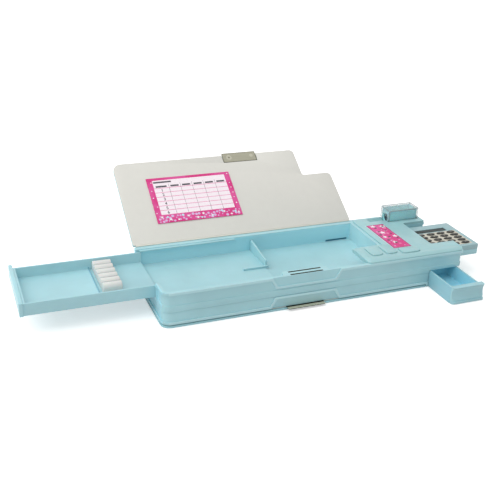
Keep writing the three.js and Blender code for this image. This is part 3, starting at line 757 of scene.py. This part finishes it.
class GeometryTree(Wiring):
    """A Geometry Nodes tree with named inputs, built in the script."""

    def __init__(self, name: str) -> None:
        """Start a tree with a geometry input and output.

        Args:
            name: The tree's name.
        """
        super().__init__(bpy.data.node_groups.new(name, "GeometryNodeTree"))
        for way in ("INPUT", "OUTPUT"):
            self.tree.interface.new_socket("Geometry", in_out=way,
                                           socket_type="NodeSocketGeometry")
        self.start = self.add("NodeGroupInput")
        self.names: dict[str, str] = {}

    def named(self, name: str, kind: str = "Float") -> NodeSocket:
        """Add a named input.

        Args:
            name: The input's name.
            kind: Its kind of socket.

        Returns:
            Its socket inside the tree.
        """
        socket = self.tree.interface.new_socket(name, in_out="INPUT",
                                                socket_type=f"NodeSocket{kind}")
        self.names[name] = socket.identifier
        return self.start.outputs[name]

    def random(self, seed: object, *limits: object) -> NodeSocket:
        """Add a random number for each copy.

        Args:
            seed: The seed.
            limits: The least and the most.

        Returns:
            The number's socket.
        """
        float_inputs, float_output = slice(2, 4), 1
        node = self.add("FunctionNodeRandomValue", data_type="FLOAT", Seed=seed)
        for value, socket in zip(limits, node.inputs[float_inputs]):
            self.feed(value, socket)
        return node.outputs[float_output]

    def close(self, geometry: NodeSocket, finish: Finish) -> None:
        """End the tree in Realize Instances and Set Material.

        Args:
            geometry: The geometry's socket.
            finish: The finish that it takes.
        """
        real = self.add("GeometryNodeRealizeInstances", geometry).outputs[0]
        inked = self.add("GeometryNodeSetMaterial", real, Material=finish.material())
        self.add("NodeGroupOutput", inked.outputs[0])

    def grow(self, base: Mesh, name: str, **values: object) -> Mesh:
        """Run the tree on a mesh.

        Args:
            base: The mesh that the tree starts from.
            name: The new mesh's name.
            values: The named inputs.

        Returns:
            The plain mesh.
        """
        maker = placed(f"{name}_maker", base)
        modifier = maker.modifiers.new("growth", "NODES")
        modifier.node_group = self.tree
        for key, value in values.items():
            modifier[self.names[key]] = value
        return evaluated_mesh(maker, name)


def scatter_tree(motif: Object, finish: Finish) -> GeometryTree:
    """Build a tree that strews turned and scaled copies of a motif over faces.

    Args:
        motif: The object to strew.
        finish: The motifs' finish.

    Returns:
        The tree, with inputs gap, seed, small and large.
    """
    growth = GeometryTree(f"strewn_{motif.name}")
    gap, seed = growth.named("gap"), growth.named("seed", "Int")
    size = growth.random(seed, growth.named("small"), growth.named("large"))
    tries_per_gap = 5.0
    tries = growth.maths("DIVIDE", tries_per_gap, growth.maths("MULTIPLY", gap, gap))
    points = growth.add("GeometryNodeDistributePointsOnFaces", growth.start.outputs[0],
                        distribute_method="POISSON", Distance_Min=gap, Density_Max=tries,
                        Seed=seed)
    source = growth.add("GeometryNodeObjectInfo", Object=motif)
    copies = growth.add("GeometryNodeInstanceOnPoints", points.outputs["Points"],
                        Instance=source.outputs["Geometry"], Rotation=points.outputs["Rotation"],
                        Scale=size)
    turn = growth.add("ShaderNodeCombineXYZ", Z=growth.random(0, 0.0, 2 * math.pi))
    turned = growth.add("GeometryNodeRotateInstances", copies.outputs[0],
                        Rotation=turn.outputs[0])
    growth.close(turned.outputs[0], finish)
    return growth


def ruling_tree(finish: Finish) -> GeometryTree:
    """Build a tree that repeats a mark at an even pitch.

    Args:
        finish: The ink.

    Returns:
        The tree, with inputs count and step.
    """
    growth = GeometryTree(f"ruling_{finish.name}")
    line = growth.add("GeometryNodeMeshLine", mode="OFFSET", Count=growth.named("count", "Int"),
                      Offset=growth.named("step", "Vector"))
    copies = growth.add("GeometryNodeInstanceOnPoints", line.outputs[0],
                        Instance=growth.start.outputs[0])
    growth.close(copies.outputs[0], finish)
    return growth


class Motif(Enum):
    """A strewn motif's shape: its inner radius and its tips."""

    DOT = (1.0, 9)
    STAR = (0.45, 5)


@dataclass(frozen=True)
class Strewing:
    """How one kind of motif is strewn, in millimetres."""

    name: str
    motif: Motif
    ink: Finish
    gap: float
    seed: int
    small: float
    large: float
    risen: float = 1e-4

    def over(self, strips: Sequence[Sides], ground: float, ink: float, unit: float) -> Mesh:
        """Strew the motif over flat strips and press it to the ink's thickness.

        Args:
            strips: The strips' sides.
            ground: The strips' height.
            ink: The ink's thickness.
            unit: A millimetre in the strips' unit.

        Returns:
            The motifs' mesh.
        """
        shape = bpy.data.objects.new(f"{self.name}_shape", sheet(
            f"{self.name}_shape", star(*self.motif.value), 0, 1))
        zone = bpy.data.meshes.new(f"{self.name}_zone")
        zone.from_pydata([(x, y, ground) for strip in strips for x, y in rectangle(strip)], [],
                         [range(4 * at, 4 * at + 4) for at in range(len(strips))])
        mesh = scatter_tree(shape, self.ink).grow(
            zone, self.name, gap=self.gap * unit, seed=self.seed, small=self.small * unit,
            large=self.large * unit)
        bpy.data.objects.remove(shape)
        for vertex in mesh.vertices:
            vertex.co.z = ground + ink if vertex.co.z > ground + self.risen else ground
        return mesh


# The pencil box's sub-assemblies


@dataclass
class CaseShell:
    """The case: both halves, spine, divider, deck, magnets and poles, and the buttons."""

    rounding: Softening = Softening()
    thin_rounding: Softening = Softening(width=0.18 * MM, segments=2)
    deck_underside: tuple[float, float] = (28.55 * MM, 29.0 * MM)
    deck_drop: float = 0.27 * MM
    proud_highlight_reach: float = 0.45 * MM
    pole_shadow_reach: float = 0.4 * MM
    foot_shade_depth: float = 1.3 * MM
    foot_shade_height: float = 1.62 * MM
    end_light_reach: float = 1.06 * MM
    inner_back_light: tuple[Vector, Vector] = (
        Vector((-140, 35.6, 13)) * MM, Vector((140, 36.2, 27.9)) * MM)
    catch_pocket_shade: tuple[Vector, Vector] = (
        Vector((40.3, 35.85, 13.5)) * MM, Vector((61.1, 38.0, 15.3)) * MM)

    def build(self) -> None:
        """Dress every fixed piece and the three release buttons."""
        for node in ("upper_case", "lower_case", "compartment_divider", "deck_panel"):
            mesh = self.rounding.of_node(node)
            if node == "deck_panel":
                self.seat(mesh)
            as_piece(f"{node}_moulded", mesh, self.finish(node), "case", [node])
        thin = self.thin_rounding
        thin.dress("spine_cover", "spine_sheet", SPINE, "case", "cover_aqua")
        for half in ("upper", "lower"):
            for node in (f"{half}_front_pole", f"{half}_rear_pole"):
                thin.dress(node, f"{node}_strip", POLE, "case", "pole_steel")
            node = f"{half}_magnet"
            thin.dress(node, f"{node}_block", FERRITE, "case", "magnet_ferrite")
        for node in ("tray_button", "sharpener_button", "calculator_button"):
            thin.dress(node, f"{node}_tongue", DECK, node, "case_aqua")

    def finish(self, node: str) -> Finish:
        """Give a moulding's finish, with its painted highlight, painted light and painted shade.

        Args:
            node: The moulding's CAD node.

        Returns:
            The finish.
        """
        if node == "deck_panel":
            return DECK
        low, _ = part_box(node)
        if node == "compartment_divider":
            # Painted shade: the divider's foot is a darker blue, for the shade that falls on it.
            foot_shade = (1, low.y + self.foot_shade_depth, low.z + self.foot_shade_height)
            return aqua(node, "A8D5DC", Area("7BB9CC", high=foot_shade))
        # Painted light: the left end wall is paler and bluer than the case, for the light it gets
        # in shade.
        areas = [Area("A9DEEA", high=(low.x + self.end_light_reach, 1, 1)),
                 # Painted highlight: the proud front edge is paler than the case.
                 Area("B9E0E6", high=(1, low.y + self.proud_highlight_reach, 1))]
        if node == "upper_case":
            # Painted light on the inner back wall, paler and bluer, and painted shade in the catch
            # pocket.
            areas += [Area("AEE4EF", *self.inner_back_light), Area("5F9FB6", *self.catch_pocket_shade)]
            # Painted shadow: a dark band on the case round each pole strip.
            reach = Vector((self.pole_shadow_reach,) * 3)
            for pole in ("upper_front_pole", "upper_rear_pole"):
                low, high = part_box(pole)
                areas.append(Area("4C5245", low - reach, high + reach))
        return aqua(node, "A8D5DC", *areas)

    def seat(self, mesh: Mesh) -> None:
        """Lower the deck's underside onto the rim, so no gap shows under its edge.

        Args:
            mesh: The deck's mesh.
        """
        low, high = self.deck_underside
        for vertex in mesh.vertices:
            if low < vertex.co.z < high:
                vertex.co.z -= self.deck_drop


@dataclass
class DeckLabel:
    """The pink label on the deck, with plain strewn stars and dots."""

    ink: float = 0.03 * MM
    margin: float = 2.6 * MM
    films: tuple[tuple[str, float, Finish], ...] = (
        ("label_rim", 0.15 * MM, BERRY), ("label_film", 1.0 * MM, PINK))
    motifs: tuple[Strewing, ...] = (
        Strewing("label_discs", Motif.DOT, ROSE, 5.2, 2, 0.8, 1.6),
        Strewing("label_stars", Motif.STAR, WHITE, 8.4, 3, 2.3, 3.3),
        Strewing("label_dots", Motif.DOT, LILAC, 5.0, 8, 0.4, 0.8),
        Strewing("label_beads", Motif.DOT, PLUM, 6.4, 5, 0.8, 1.3),
    )

    def build(self) -> None:
        """Dress the label and strew its motifs."""
        finished(bpy.data.objects["deck_label"].data, WHITE)
        low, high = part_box("deck_label")
        sides, level = (low.x, high.x, low.y, high.y), high.z
        for name, edge, ink in self.films:
            film = sheet(name, rectangle(inset(sides, [edge] * 4)), level, level + self.ink)
            as_piece(name, film, ink, "case")
            level += self.ink
        strip = inset(sides, [self.margin] * 4)
        for at, kind in enumerate(self.motifs):
            mesh = kind.over([strip], level + at * self.ink, self.ink, MM)
            as_piece(kind.name, mesh, kind.ink, "case")


@dataclass
class Lids:
    """Both lids, and the timetable card on the upper one, whose sizes are in millimetres."""

    hinge: Triple = (-127.5, 41.0, 28.6)
    open_from_flat: float = math.radians(32.8)
    rounding: Softening = Softening(width=0.2 * MM)
    card: Sides = (24.6, 98.2, 18.5, 64.0)
    card_top: float = 0.6
    border: Sides = (4.8, 4.8, 7.6, 2.6)
    title_depth: float = 4.2
    header_depth: float = 4.2
    rows: int = 6
    columns: int = 5
    label_column: float = 13.0
    row_line: float = 0.42
    column_line: float = 0.22
    heading_band: tuple[float, float] = (3.2, 1.5)
    heading_gap: float = 1.5
    label_gap: float = 1.8
    title_mark: Sides = (0.6, 16.0, -2.9, -1.3)
    number_size: float = 3.8
    strewn_edge: float = 1.2
    front_motifs: tuple[str, ...] = ("card_beads", "card_discs", "card_stars")
    motifs: tuple[Strewing, ...] = (
        Strewing("card_beads", Motif.DOT, LILAC, 2.2, 9, 0.5, 1.3),
        Strewing("card_dots", Motif.DOT, WHITE, 4.6, 6, 0.4, 0.6),
        Strewing("card_discs", Motif.DOT, SKY, 9.0, 4, 0.7, 1.1),
        Strewing("card_stars", Motif.STAR, WHITE, 6.0, 5, 1.1, 1.7),
    )
    ink: float = 0.03
    strike_shade_edges: Sides = (0.7, 0.7, 0.35, 0.7)
    strike_corner: float = 1.0
    # Each dimple is drawn flat, as a painted highlight rim round a painted shade pit.
    rings: tuple[tuple[str, Finish, int, float, float, float], ...] = (
        ("strike_rim_1", HIGHLIGHT_STEEL, 1, 2.6, 0.19, 0.5),
        ("strike_pit_1", SHADED_STEEL, 2, 0.9, 0.19, 0.5),
        ("strike_rim_2", HIGHLIGHT_STEEL, 1, 1.6, 0.86, 0.55),
    )
    lip_start: float = 0.1 * MM
    lit_lip: float = 3.1 * MM
    face_skin: float = 0.06 * MM

    def plane(self) -> Matrix:
        """Give the way from the open upper lid's inner face, in millimetres, to the row frame."""
        turn = Matrix.Rotation(self.open_from_flat, 4, "X")
        return Matrix.Translation(Vector(self.hinge) * MM) @ turn @ Matrix.Scale(MM, 4)

    def build(self) -> None:
        """Dress the sheets and strikes of both lids, then the card."""
        for lid in ("top_lid", "bottom_lid"):
            self.rounding.dress(f"{lid}_cover", f"{lid}_outer_sheet", COVER, lid, "cover_aqua")
            THIN_SHEET.dress(f"{lid}_liner", f"{lid}_inner_sheet", LINER, lid, "liner_pearl")
        THIN_SHEET.dress("top_lid_strike", "top_lid_strike_plate", SHADED_STEEL, "top_lid",
                         "strike_steel")
        self.build_strike_face()
        # The lower strike is painted: a highlight on its lit lip, shade on the face behind it, and
        # shade on its front edge and sides.
        low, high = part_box("bottom_lid_strike")
        face, lip_end = high.z - self.face_skin, low.y + self.lit_lip
        lip_highlight = Area("F6E6CE", (-1, low.y + self.lip_start, face), (1, lip_end, 1))
        shaded = Area("26271F", (-1, lip_end, face))
        lower = BrushedMetal("lower_strike_steel", "34321F", 0.42, areas=(lip_highlight, shaded))
        THIN_SHEET.dress("bottom_lid_strike", "bottom_lid_strike_plate", lower, "bottom_lid",
                         "strike_steel")
        self.build_card()

    def build_strike_face(self) -> None:
        """Give the upper strike a bright face inside an edge painted dark for shade, with two
        pressed dimples drawn as a painted highlight rim round a painted shade pit.
        """
        back = self.plane().inverted()
        points = [back @ vertex.co for vertex in bpy.data.objects["top_lid_strike"].data.vertices]
        low, high = (Vector(map(limit, zip(*points))) for limit in (min, max))
        face = inset((low.x, high.x, low.y, high.y), self.strike_shade_edges)
        layers = [("strike_face", STRIKE, 0, rectangle(face, self.strike_corner))]
        for name, metal, layer, radius, along, across in self.rings:
            x, y = low.x + along * (high.x - low.x), low.y + across * (high.y - low.y)
            layers.append((name, metal, layer, [(x + radius * px, y + radius * py)
                                                for px, py in star(inner=1.0, tips=12)]))
        for name, metal, layer, outline in layers:
            bottom = high.z + layer * self.ink
            mesh = sheet(name, outline, bottom, bottom + self.ink, self.plane())
            as_piece(name, mesh, metal, "top_lid")

    def build_card(self) -> None:
        """Print the card: a pink border, a white sheet, ruled lines, row numbers and stars."""
        finished(bpy.data.objects["timetable_card"].data, PINK)
        left, right, near, far = inset(self.card, self.border)
        grid_left, grid_far = left + self.label_column, far - self.title_depth
        row_depth = (grid_far - self.header_depth - near) / self.rows
        column = (right - grid_left) / self.columns
        across = ((column, 0, 0), self.columns)
        heading = [grid_far - reach for reach in self.heading_band]
        start, end, title_near, title_far = self.title_mark
        self.printed("card_sheet", PAPER, (left, right, near, far), layer=0)
        self.printed("card_row_lines", ROSE, (left, right, near, near + self.row_line),
                     (0, row_depth, 0), self.rows + 1)
        self.printed("card_column_lines", GREY,
                     (grid_left, grid_left + self.column_line, near, grid_far), *across)
        self.printed("card_heading_marks", GREY, (grid_left + self.heading_gap, grid_left
                                                  + column - self.heading_gap, *heading), *across)
        self.printed("card_title_mark", GREY,
                     (left + start, left + end, far + title_near, far + title_far))
        self.printed("card_label_mark", GREY,
                     (left + self.label_gap, grid_left - self.label_gap, *heading))
        self.number_rows(left + self.label_column / 2, near, row_depth)
        self.border_motifs()

    def printed(self, name: str, ink: Finish, sides: Sides, step: Triple = (0, 0, 0),
                count: int = 1, layer: int = 1) -> None:
        """Print one flat mark on the card, or the same mark several times.

        Args:
            name: The piece's name.
            ink: Its ink.
            sides: The first mark's sides on the lid's plane.
            step: The way from one mark to the next.
            count: How many marks there are.
            layer: Their layer above the card.
        """
        low = self.card_top + layer * self.ink
        mark = sheet(f"{name}_first", rectangle(sides), low, low + self.ink)
        self.lay(name, ink, ruling_tree(ink).grow(mark, name, count=count, step=step))

    def lay(self, name: str, ink: Finish, mesh: Mesh) -> None:
        """Put a print that was made on the lid's plane onto the card."""
        mesh.transform(self.plane())
        as_piece(name, mesh, ink, "top_lid")

    def number_rows(self, middle: float, near: float, row_depth: float) -> None:
        """Print the rows' numbers in the label column.

        Args:
            middle: The column's middle.
            near: The grid's near edge.
            row_depth: The depth of one row.
        """
        work, whole = bmesh.new(), bpy.data.meshes.new("card_numbers")
        for row in range(self.rows):
            place = self.plane() @ Matrix.Translation(
                (middle, near + (self.rows - row - 0.5) * row_depth, self.card_top + self.ink))
            digit = lettering(str(row + 1), self.number_size, place, self.ink,
                              f"card_number_{row + 1}")
            work.from_mesh(digit)
            bpy.data.meshes.remove(digit)
        work.to_mesh(whole)
        work.free()
        as_piece("card_numbers", whole, GREY, "top_lid")

    def border_motifs(self) -> None:
        """Strew small stars and dots over the card's border."""
        edge = self.strewn_edge
        left, right, near, far = inset(self.card, [edge] * 4)
        side, beside = self.border[0] - 2 * edge, near + self.border[2]
        front = [(left, right, near, beside - 2 * edge)]
        ends = [(left, left + side, beside, far), (right - side, right, beside, far)]
        for at, kind in enumerate(self.motifs):
            mesh = kind.over(front if kind.name in self.front_motifs else ends,
                             self.card_top + at * self.ink, self.ink, 1.0)
            self.lay(kind.name, kind.ink, mesh)


@dataclass
class SideTray:
    """The long tray and the white ridged pencil holder in it."""

    rounding: Softening = Softening(width=0.3 * MM)
    ridge_rounding: Softening = Softening(width=0.4 * MM, edge_angle=math.radians(40))
    rib_gap: float = 1.8 * MM
    rib_reach: float = 1.1 * MM
    rib_heights: tuple[float, float] = (0.1 * MM, 1.6 * MM)
    rib_spare: float = 1.0 * MM
    valley: float = 1.5 * MM
    valley_ends: tuple[float, float] = (0.3 * MM, 1.2 * MM)

    def build(self) -> None:
        """Dress the tray, with painted shade on its rib, and its holder, with painted shade in its
        valleys.
        """
        low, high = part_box("pencil_holder")
        right = low.x - self.rib_gap
        rib_low, rib_high = (low.z + height for height in self.rib_heights)
        # Painted shadow: the rib is darker, for the shade along its side.
        rib_shade = Area("7DB2C3", (right - self.rib_reach, low.y - self.rib_spare, rib_low),
                   (right, high.y + self.rib_spare, rib_high))
        # The tray's aqua is painted paler than the case's, as painted light for the stronger light
        # on it.
        self.rounding.dress("side_tray", "side_tray_moulded", aqua("tray", "ABD8E0", rib_shade),
                            "tray", "case_aqua")
        end, front = self.valley_ends
        # Painted shade: the holder's valleys are darker than its ridge tops.
        valley_shade = Area("AEB9B9", (low.x + end, low.y + front, -1), (1, 1, high.z - self.valley))
        holder = MouldedPlastic("holder_white", "DCDEDB", roughness=0.5, clouding=0.015,
                                glow=0.1, areas=(valley_shade,))
        self.ridge_rounding.dress("pencil_holder", "pencil_holder_ridged", holder, "tray",
                                  "holder_white")


@dataclass
class FrontDrawer:
    """The small drawer in the front."""

    rounding: Softening = Softening(width=0.3 * MM)
    inner_shade_low: Triple = (1.0 * MM, 5.2 * MM, 2.2 * MM)
    inner_shade_high: Triple = (4.4 * MM, 1.0 * MM, 0.4 * MM)
    side_shade_reach: float = 0.15 * MM

    def build(self) -> None:
        """Dress the drawer, with its inside painted a deeper blue for the shade there and its left
        side painted darker for shade.
        """
        low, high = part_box("front_drawer")
        # Painted shade: a deeper blue inside the drawer and a darker left side.
        inside = Area("9AD9EA", low + Vector(self.inner_shade_low), high - Vector(self.inner_shade_high))
        side = Area("96C9D6", high=(low.x + self.side_shade_reach, 1, 1))
        self.rounding.dress("front_drawer", "front_drawer_moulded",
                            aqua("drawer", "A4D1D9", side, inside), "drawer", "case_aqua")


@dataclass
class Calculator:
    """The slide-out calculator: its two shells, its window and its keys."""

    rows: int = 5
    columns: int = 4
    legends: str = "0.=+123-456×789÷C%()"
    legend_size: float = 2.3 * MM
    ink: float = 0.03 * MM
    panel_margin: Triple = (1.3 * MM, 0.9 * MM, 0)
    panel_skin: float = 0.4 * MM
    rounding: Softening = Softening(width=0.3 * MM)
    key_rounding: Softening = Softening(width=0.45 * MM)

    def build(self) -> None:
        """Dress the shells, the window and the keys."""
        self.rounding.dress("calculator_back", "calculator_back_shell", MOULDED, "calculator",
                            "case_aqua")
        THIN_SHEET.dress("calculator_face", "calculator_front_shell", self.face_finish(),
                         "calculator", "case_aqua")
        window = CrystalWindow("display_glass", "222B2A", "121716",
                               *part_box("calculator_display"))
        THIN_SHEET.dress("calculator_display", "display_window", window, "calculator",
                         "display_glass")
        self.build_keys()

    def face_finish(self) -> Finish:
        """Give the face's finish, with its cream panel round the keys.

        Returns:
            The finish.
        """
        low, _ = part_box("key_1_1")
        _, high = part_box(f"key_{self.rows}_{self.columns}")
        _, face_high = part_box("calculator_face")
        low, high = low - Vector(self.panel_margin), high + Vector(self.panel_margin)
        panel = Area("CFCBBB", (low.x, low.y, face_high.z - self.panel_skin),
                     (high.x, high.y, 1))
        return KeypadFace("keypad_face", "99BABF", panel)

    def build_keys(self) -> None:
        """Dress each key and print its legend."""
        for at, text in enumerate(self.legends):
            node = f"key_{at // self.columns + 1}_{at % self.columns + 1}"
            self.key_rounding.dress(node, f"{node}_cap", RUBBER, node, "key_rubber")
            low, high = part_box(node)
            place = Matrix.Translation(((low.x + high.x) / 2, (low.y + high.y) / 2, high.z))
            name = f"{node}_legend"
            legend = lettering(text, self.legend_size, place, self.ink, name)
            as_piece(name, legend, LEGEND, node)


@dataclass
class Sharpener:
    """The rising sharpener: base, wedge, blade, screw, clear cover and spring."""

    rounding: Softening = Softening(width=0.25 * MM)
    fine: Softening = Softening(width=0.08 * MM, segments=2)
    open_below: float = 10 * MM
    bore_reach: float = 3.4 * MM
    bore_depth: float = 9 * MM
    bore_roof: float = 2.4 * MM
    bore_mouth: float = 0.1 * MM
    pressed_flat: float = 0.16

    def build(self) -> None:
        """Dress every piece of the sharpener."""
        low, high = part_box("sharpener_cover")
        clear = ClearPlastic("cover_clear", "B4BFC1", "8FA3A7",
                             low - Vector((0, 0, self.open_below)), high)
        # Painted light: the shavings box is paler and bluer than the case's aqua, against the
        # shade under the clear cover.
        base = MouldedPlastic("aqua_base", "B2F2F8", glow=0.15)
        for part, name, finish, slot, rounding in (
                ("base", "shavings_box", base, "case_aqua", self.rounding),
                ("insert", "pencil_wedge", self.wedge_finish(), "insert_white", self.fine),
                ("blade", "blade", BLADE, "small_steel", self.fine),
                ("screw", "blade_screw", BLADE, "small_steel", self.fine),
                ("cover", "clear_cover", clear, "cover_clear", self.rounding)):
            rounding.dress(f"sharpener_{part}", name, finish, "sharpener", slot)
        self.build_spring()

    def wedge_finish(self) -> Finish:
        """Give the wedge's finish, with painted shade in the mouth and lower part of its bore.

        Returns:
            The finish.
        """
        low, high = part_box("sharpener_insert")
        middle = (low.y + high.y) / 2
        # Painted shade in the bore's mouth, below its roof.
        bore_shade = Area("3E525C", (low.x - self.bore_mouth, middle - self.bore_reach, low.z),
                    (low.x + self.bore_depth, middle + self.bore_reach, high.z - self.bore_roof))
        return MouldedPlastic("insert_pale", "C4D6D8", clouding=0.02, areas=(bore_shade,))

    def build_spring(self) -> None:
        """Dress the coil spring as a piece of the case, on a mesh of its own."""
        mesh = bpy.data.objects["sharpener_spring"].data.copy()
        spring = as_piece("lifting_spring", mesh, BLADE, "case",
                          ["sharpener_spring"])
        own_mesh(spring)


# Stage, light and camera


@dataclass(frozen=True)
class Studio:
    """A pale floor, soft light and a white surround."""

    floor_reach: float = 6.0
    floor_drop: float = 0.2 * MM
    floor_unseen: Triple = (0.7, 0.7, 0.7)
    floor_seen: Triple = (0.97, 0.97, 0.97)
    floor_glow: float = 0.42
    surround: float = 0.6
    lamps: tuple[tuple[str, Triple, float, float], ...] = (
        ("key", (-0.85, 0.05, 1.35), 1.8, 16.0), ("fill", (-1.5, -0.5, 0.6), 1.2, 1.0))

    def build(self) -> None:
        """Build the floor, the world and the lamps."""
        self.build_floor()
        self.build_world()
        for lamp in self.lamps:
            self.build_lamp(*lamp)

    def build_floor(self) -> None:
        """Build the floor, which shows white to the camera and keeps the shadow."""
        look = Shading("floor_white", Roughness=0.9, Specular_IOR_Level=0.0,
                       Emission_Color=(1, 1, 1, 1))
        seen = look.seen()
        look.set(Base_Color=look.blend(seen, self.floor_unseen, self.floor_seen),
                 Emission_Strength=look.maths("MULTIPLY", seen, self.floor_glow))
        mesh = bpy.data.meshes.new("floor")
        reach = self.floor_reach
        mesh.from_pydata([(x, y, 0.0) for x, y in rectangle([-reach, reach] * 2)], [],
                         [(0, 1, 2, 3)])
        mesh.materials.append(look.material)
        floor = placed("floor", mesh)
        floor.location.z = -self.floor_drop

    def build_world(self) -> None:
        """Light evenly from all round, and show white to the camera, gloss and glass."""
        world = bpy.data.worlds.new("surround")
        bpy.context.scene.world = world
        world.use_nodes = True
        wiring = Wiring(world.node_tree)
        background = world.node_tree.nodes["Background"]
        background.inputs["Color"].default_value = (1, 1, 1, 1)
        wiring.feed(wiring.spread(wiring.seen(), self.surround, 1.0, (0.0, 1.0)),
                    background.inputs["Strength"])

    @staticmethod
    def build_lamp(name: str, place: Triple, size: float, energy: float) -> None:
        """Add a large soft lamp aimed at the box.

        Args:
            name: The lamp's name.
            place: Where it stands.
            size: The side of its square.
            energy: Its power, in watts.
        """
        data = bpy.data.lights.new(name, "AREA")
        data.size = size
        data.energy = energy
        lamp = placed(name, data)
        lamp.location = place
        lamp.rotation_euler = (-Vector(place)).to_track_quat("-Z", "Y").to_euler()


@dataclass(frozen=True)
class PhotoCamera:
    """The camera where the photograph was taken from."""

    place: Triple = (-0.261882, -0.511337, 0.295548)
    heading: float = -0.401
    drop: float = 0.441
    roll: float = 0.048
    lens: float = 56.788
    sensor: float = 36.0
    nearest: float = 0.01

    def build(self) -> None:
        """Create the camera and make it the scene's."""
        data = bpy.data.cameras.new("photo_camera")
        data.lens = self.lens
        data.sensor_width = self.sensor
        data.clip_start = self.nearest
        camera = placed("photo_camera", data)
        camera.matrix_world = (Matrix.Translation(self.place)
                               @ Matrix.Rotation(self.heading, 4, "Z")
                               @ Matrix.Rotation(math.pi / 2 - self.drop, 4, "X")
                               @ Matrix.Rotation(self.roll, 4, "Z"))
        bpy.context.scene.camera = camera


def main() -> None:
    """Dress the pencil box, piece by piece."""
    logging.basicConfig(level=logging.INFO, format="%(name)s: %(message)s")
    for leftover in list(bpy.data.objects):
        bpy.data.objects.remove(leftover)
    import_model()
    bpy.context.scene.view_settings.view_transform = "Standard"
    PhotoCamera().build()
    Studio().build()
    for part in (CaseShell(), DeckLabel(), Lids(), SideTray(), FrontDrawer(), Calculator(),
                 Sharpener()):
        part.build()


if __name__ == "__main__":
    main()
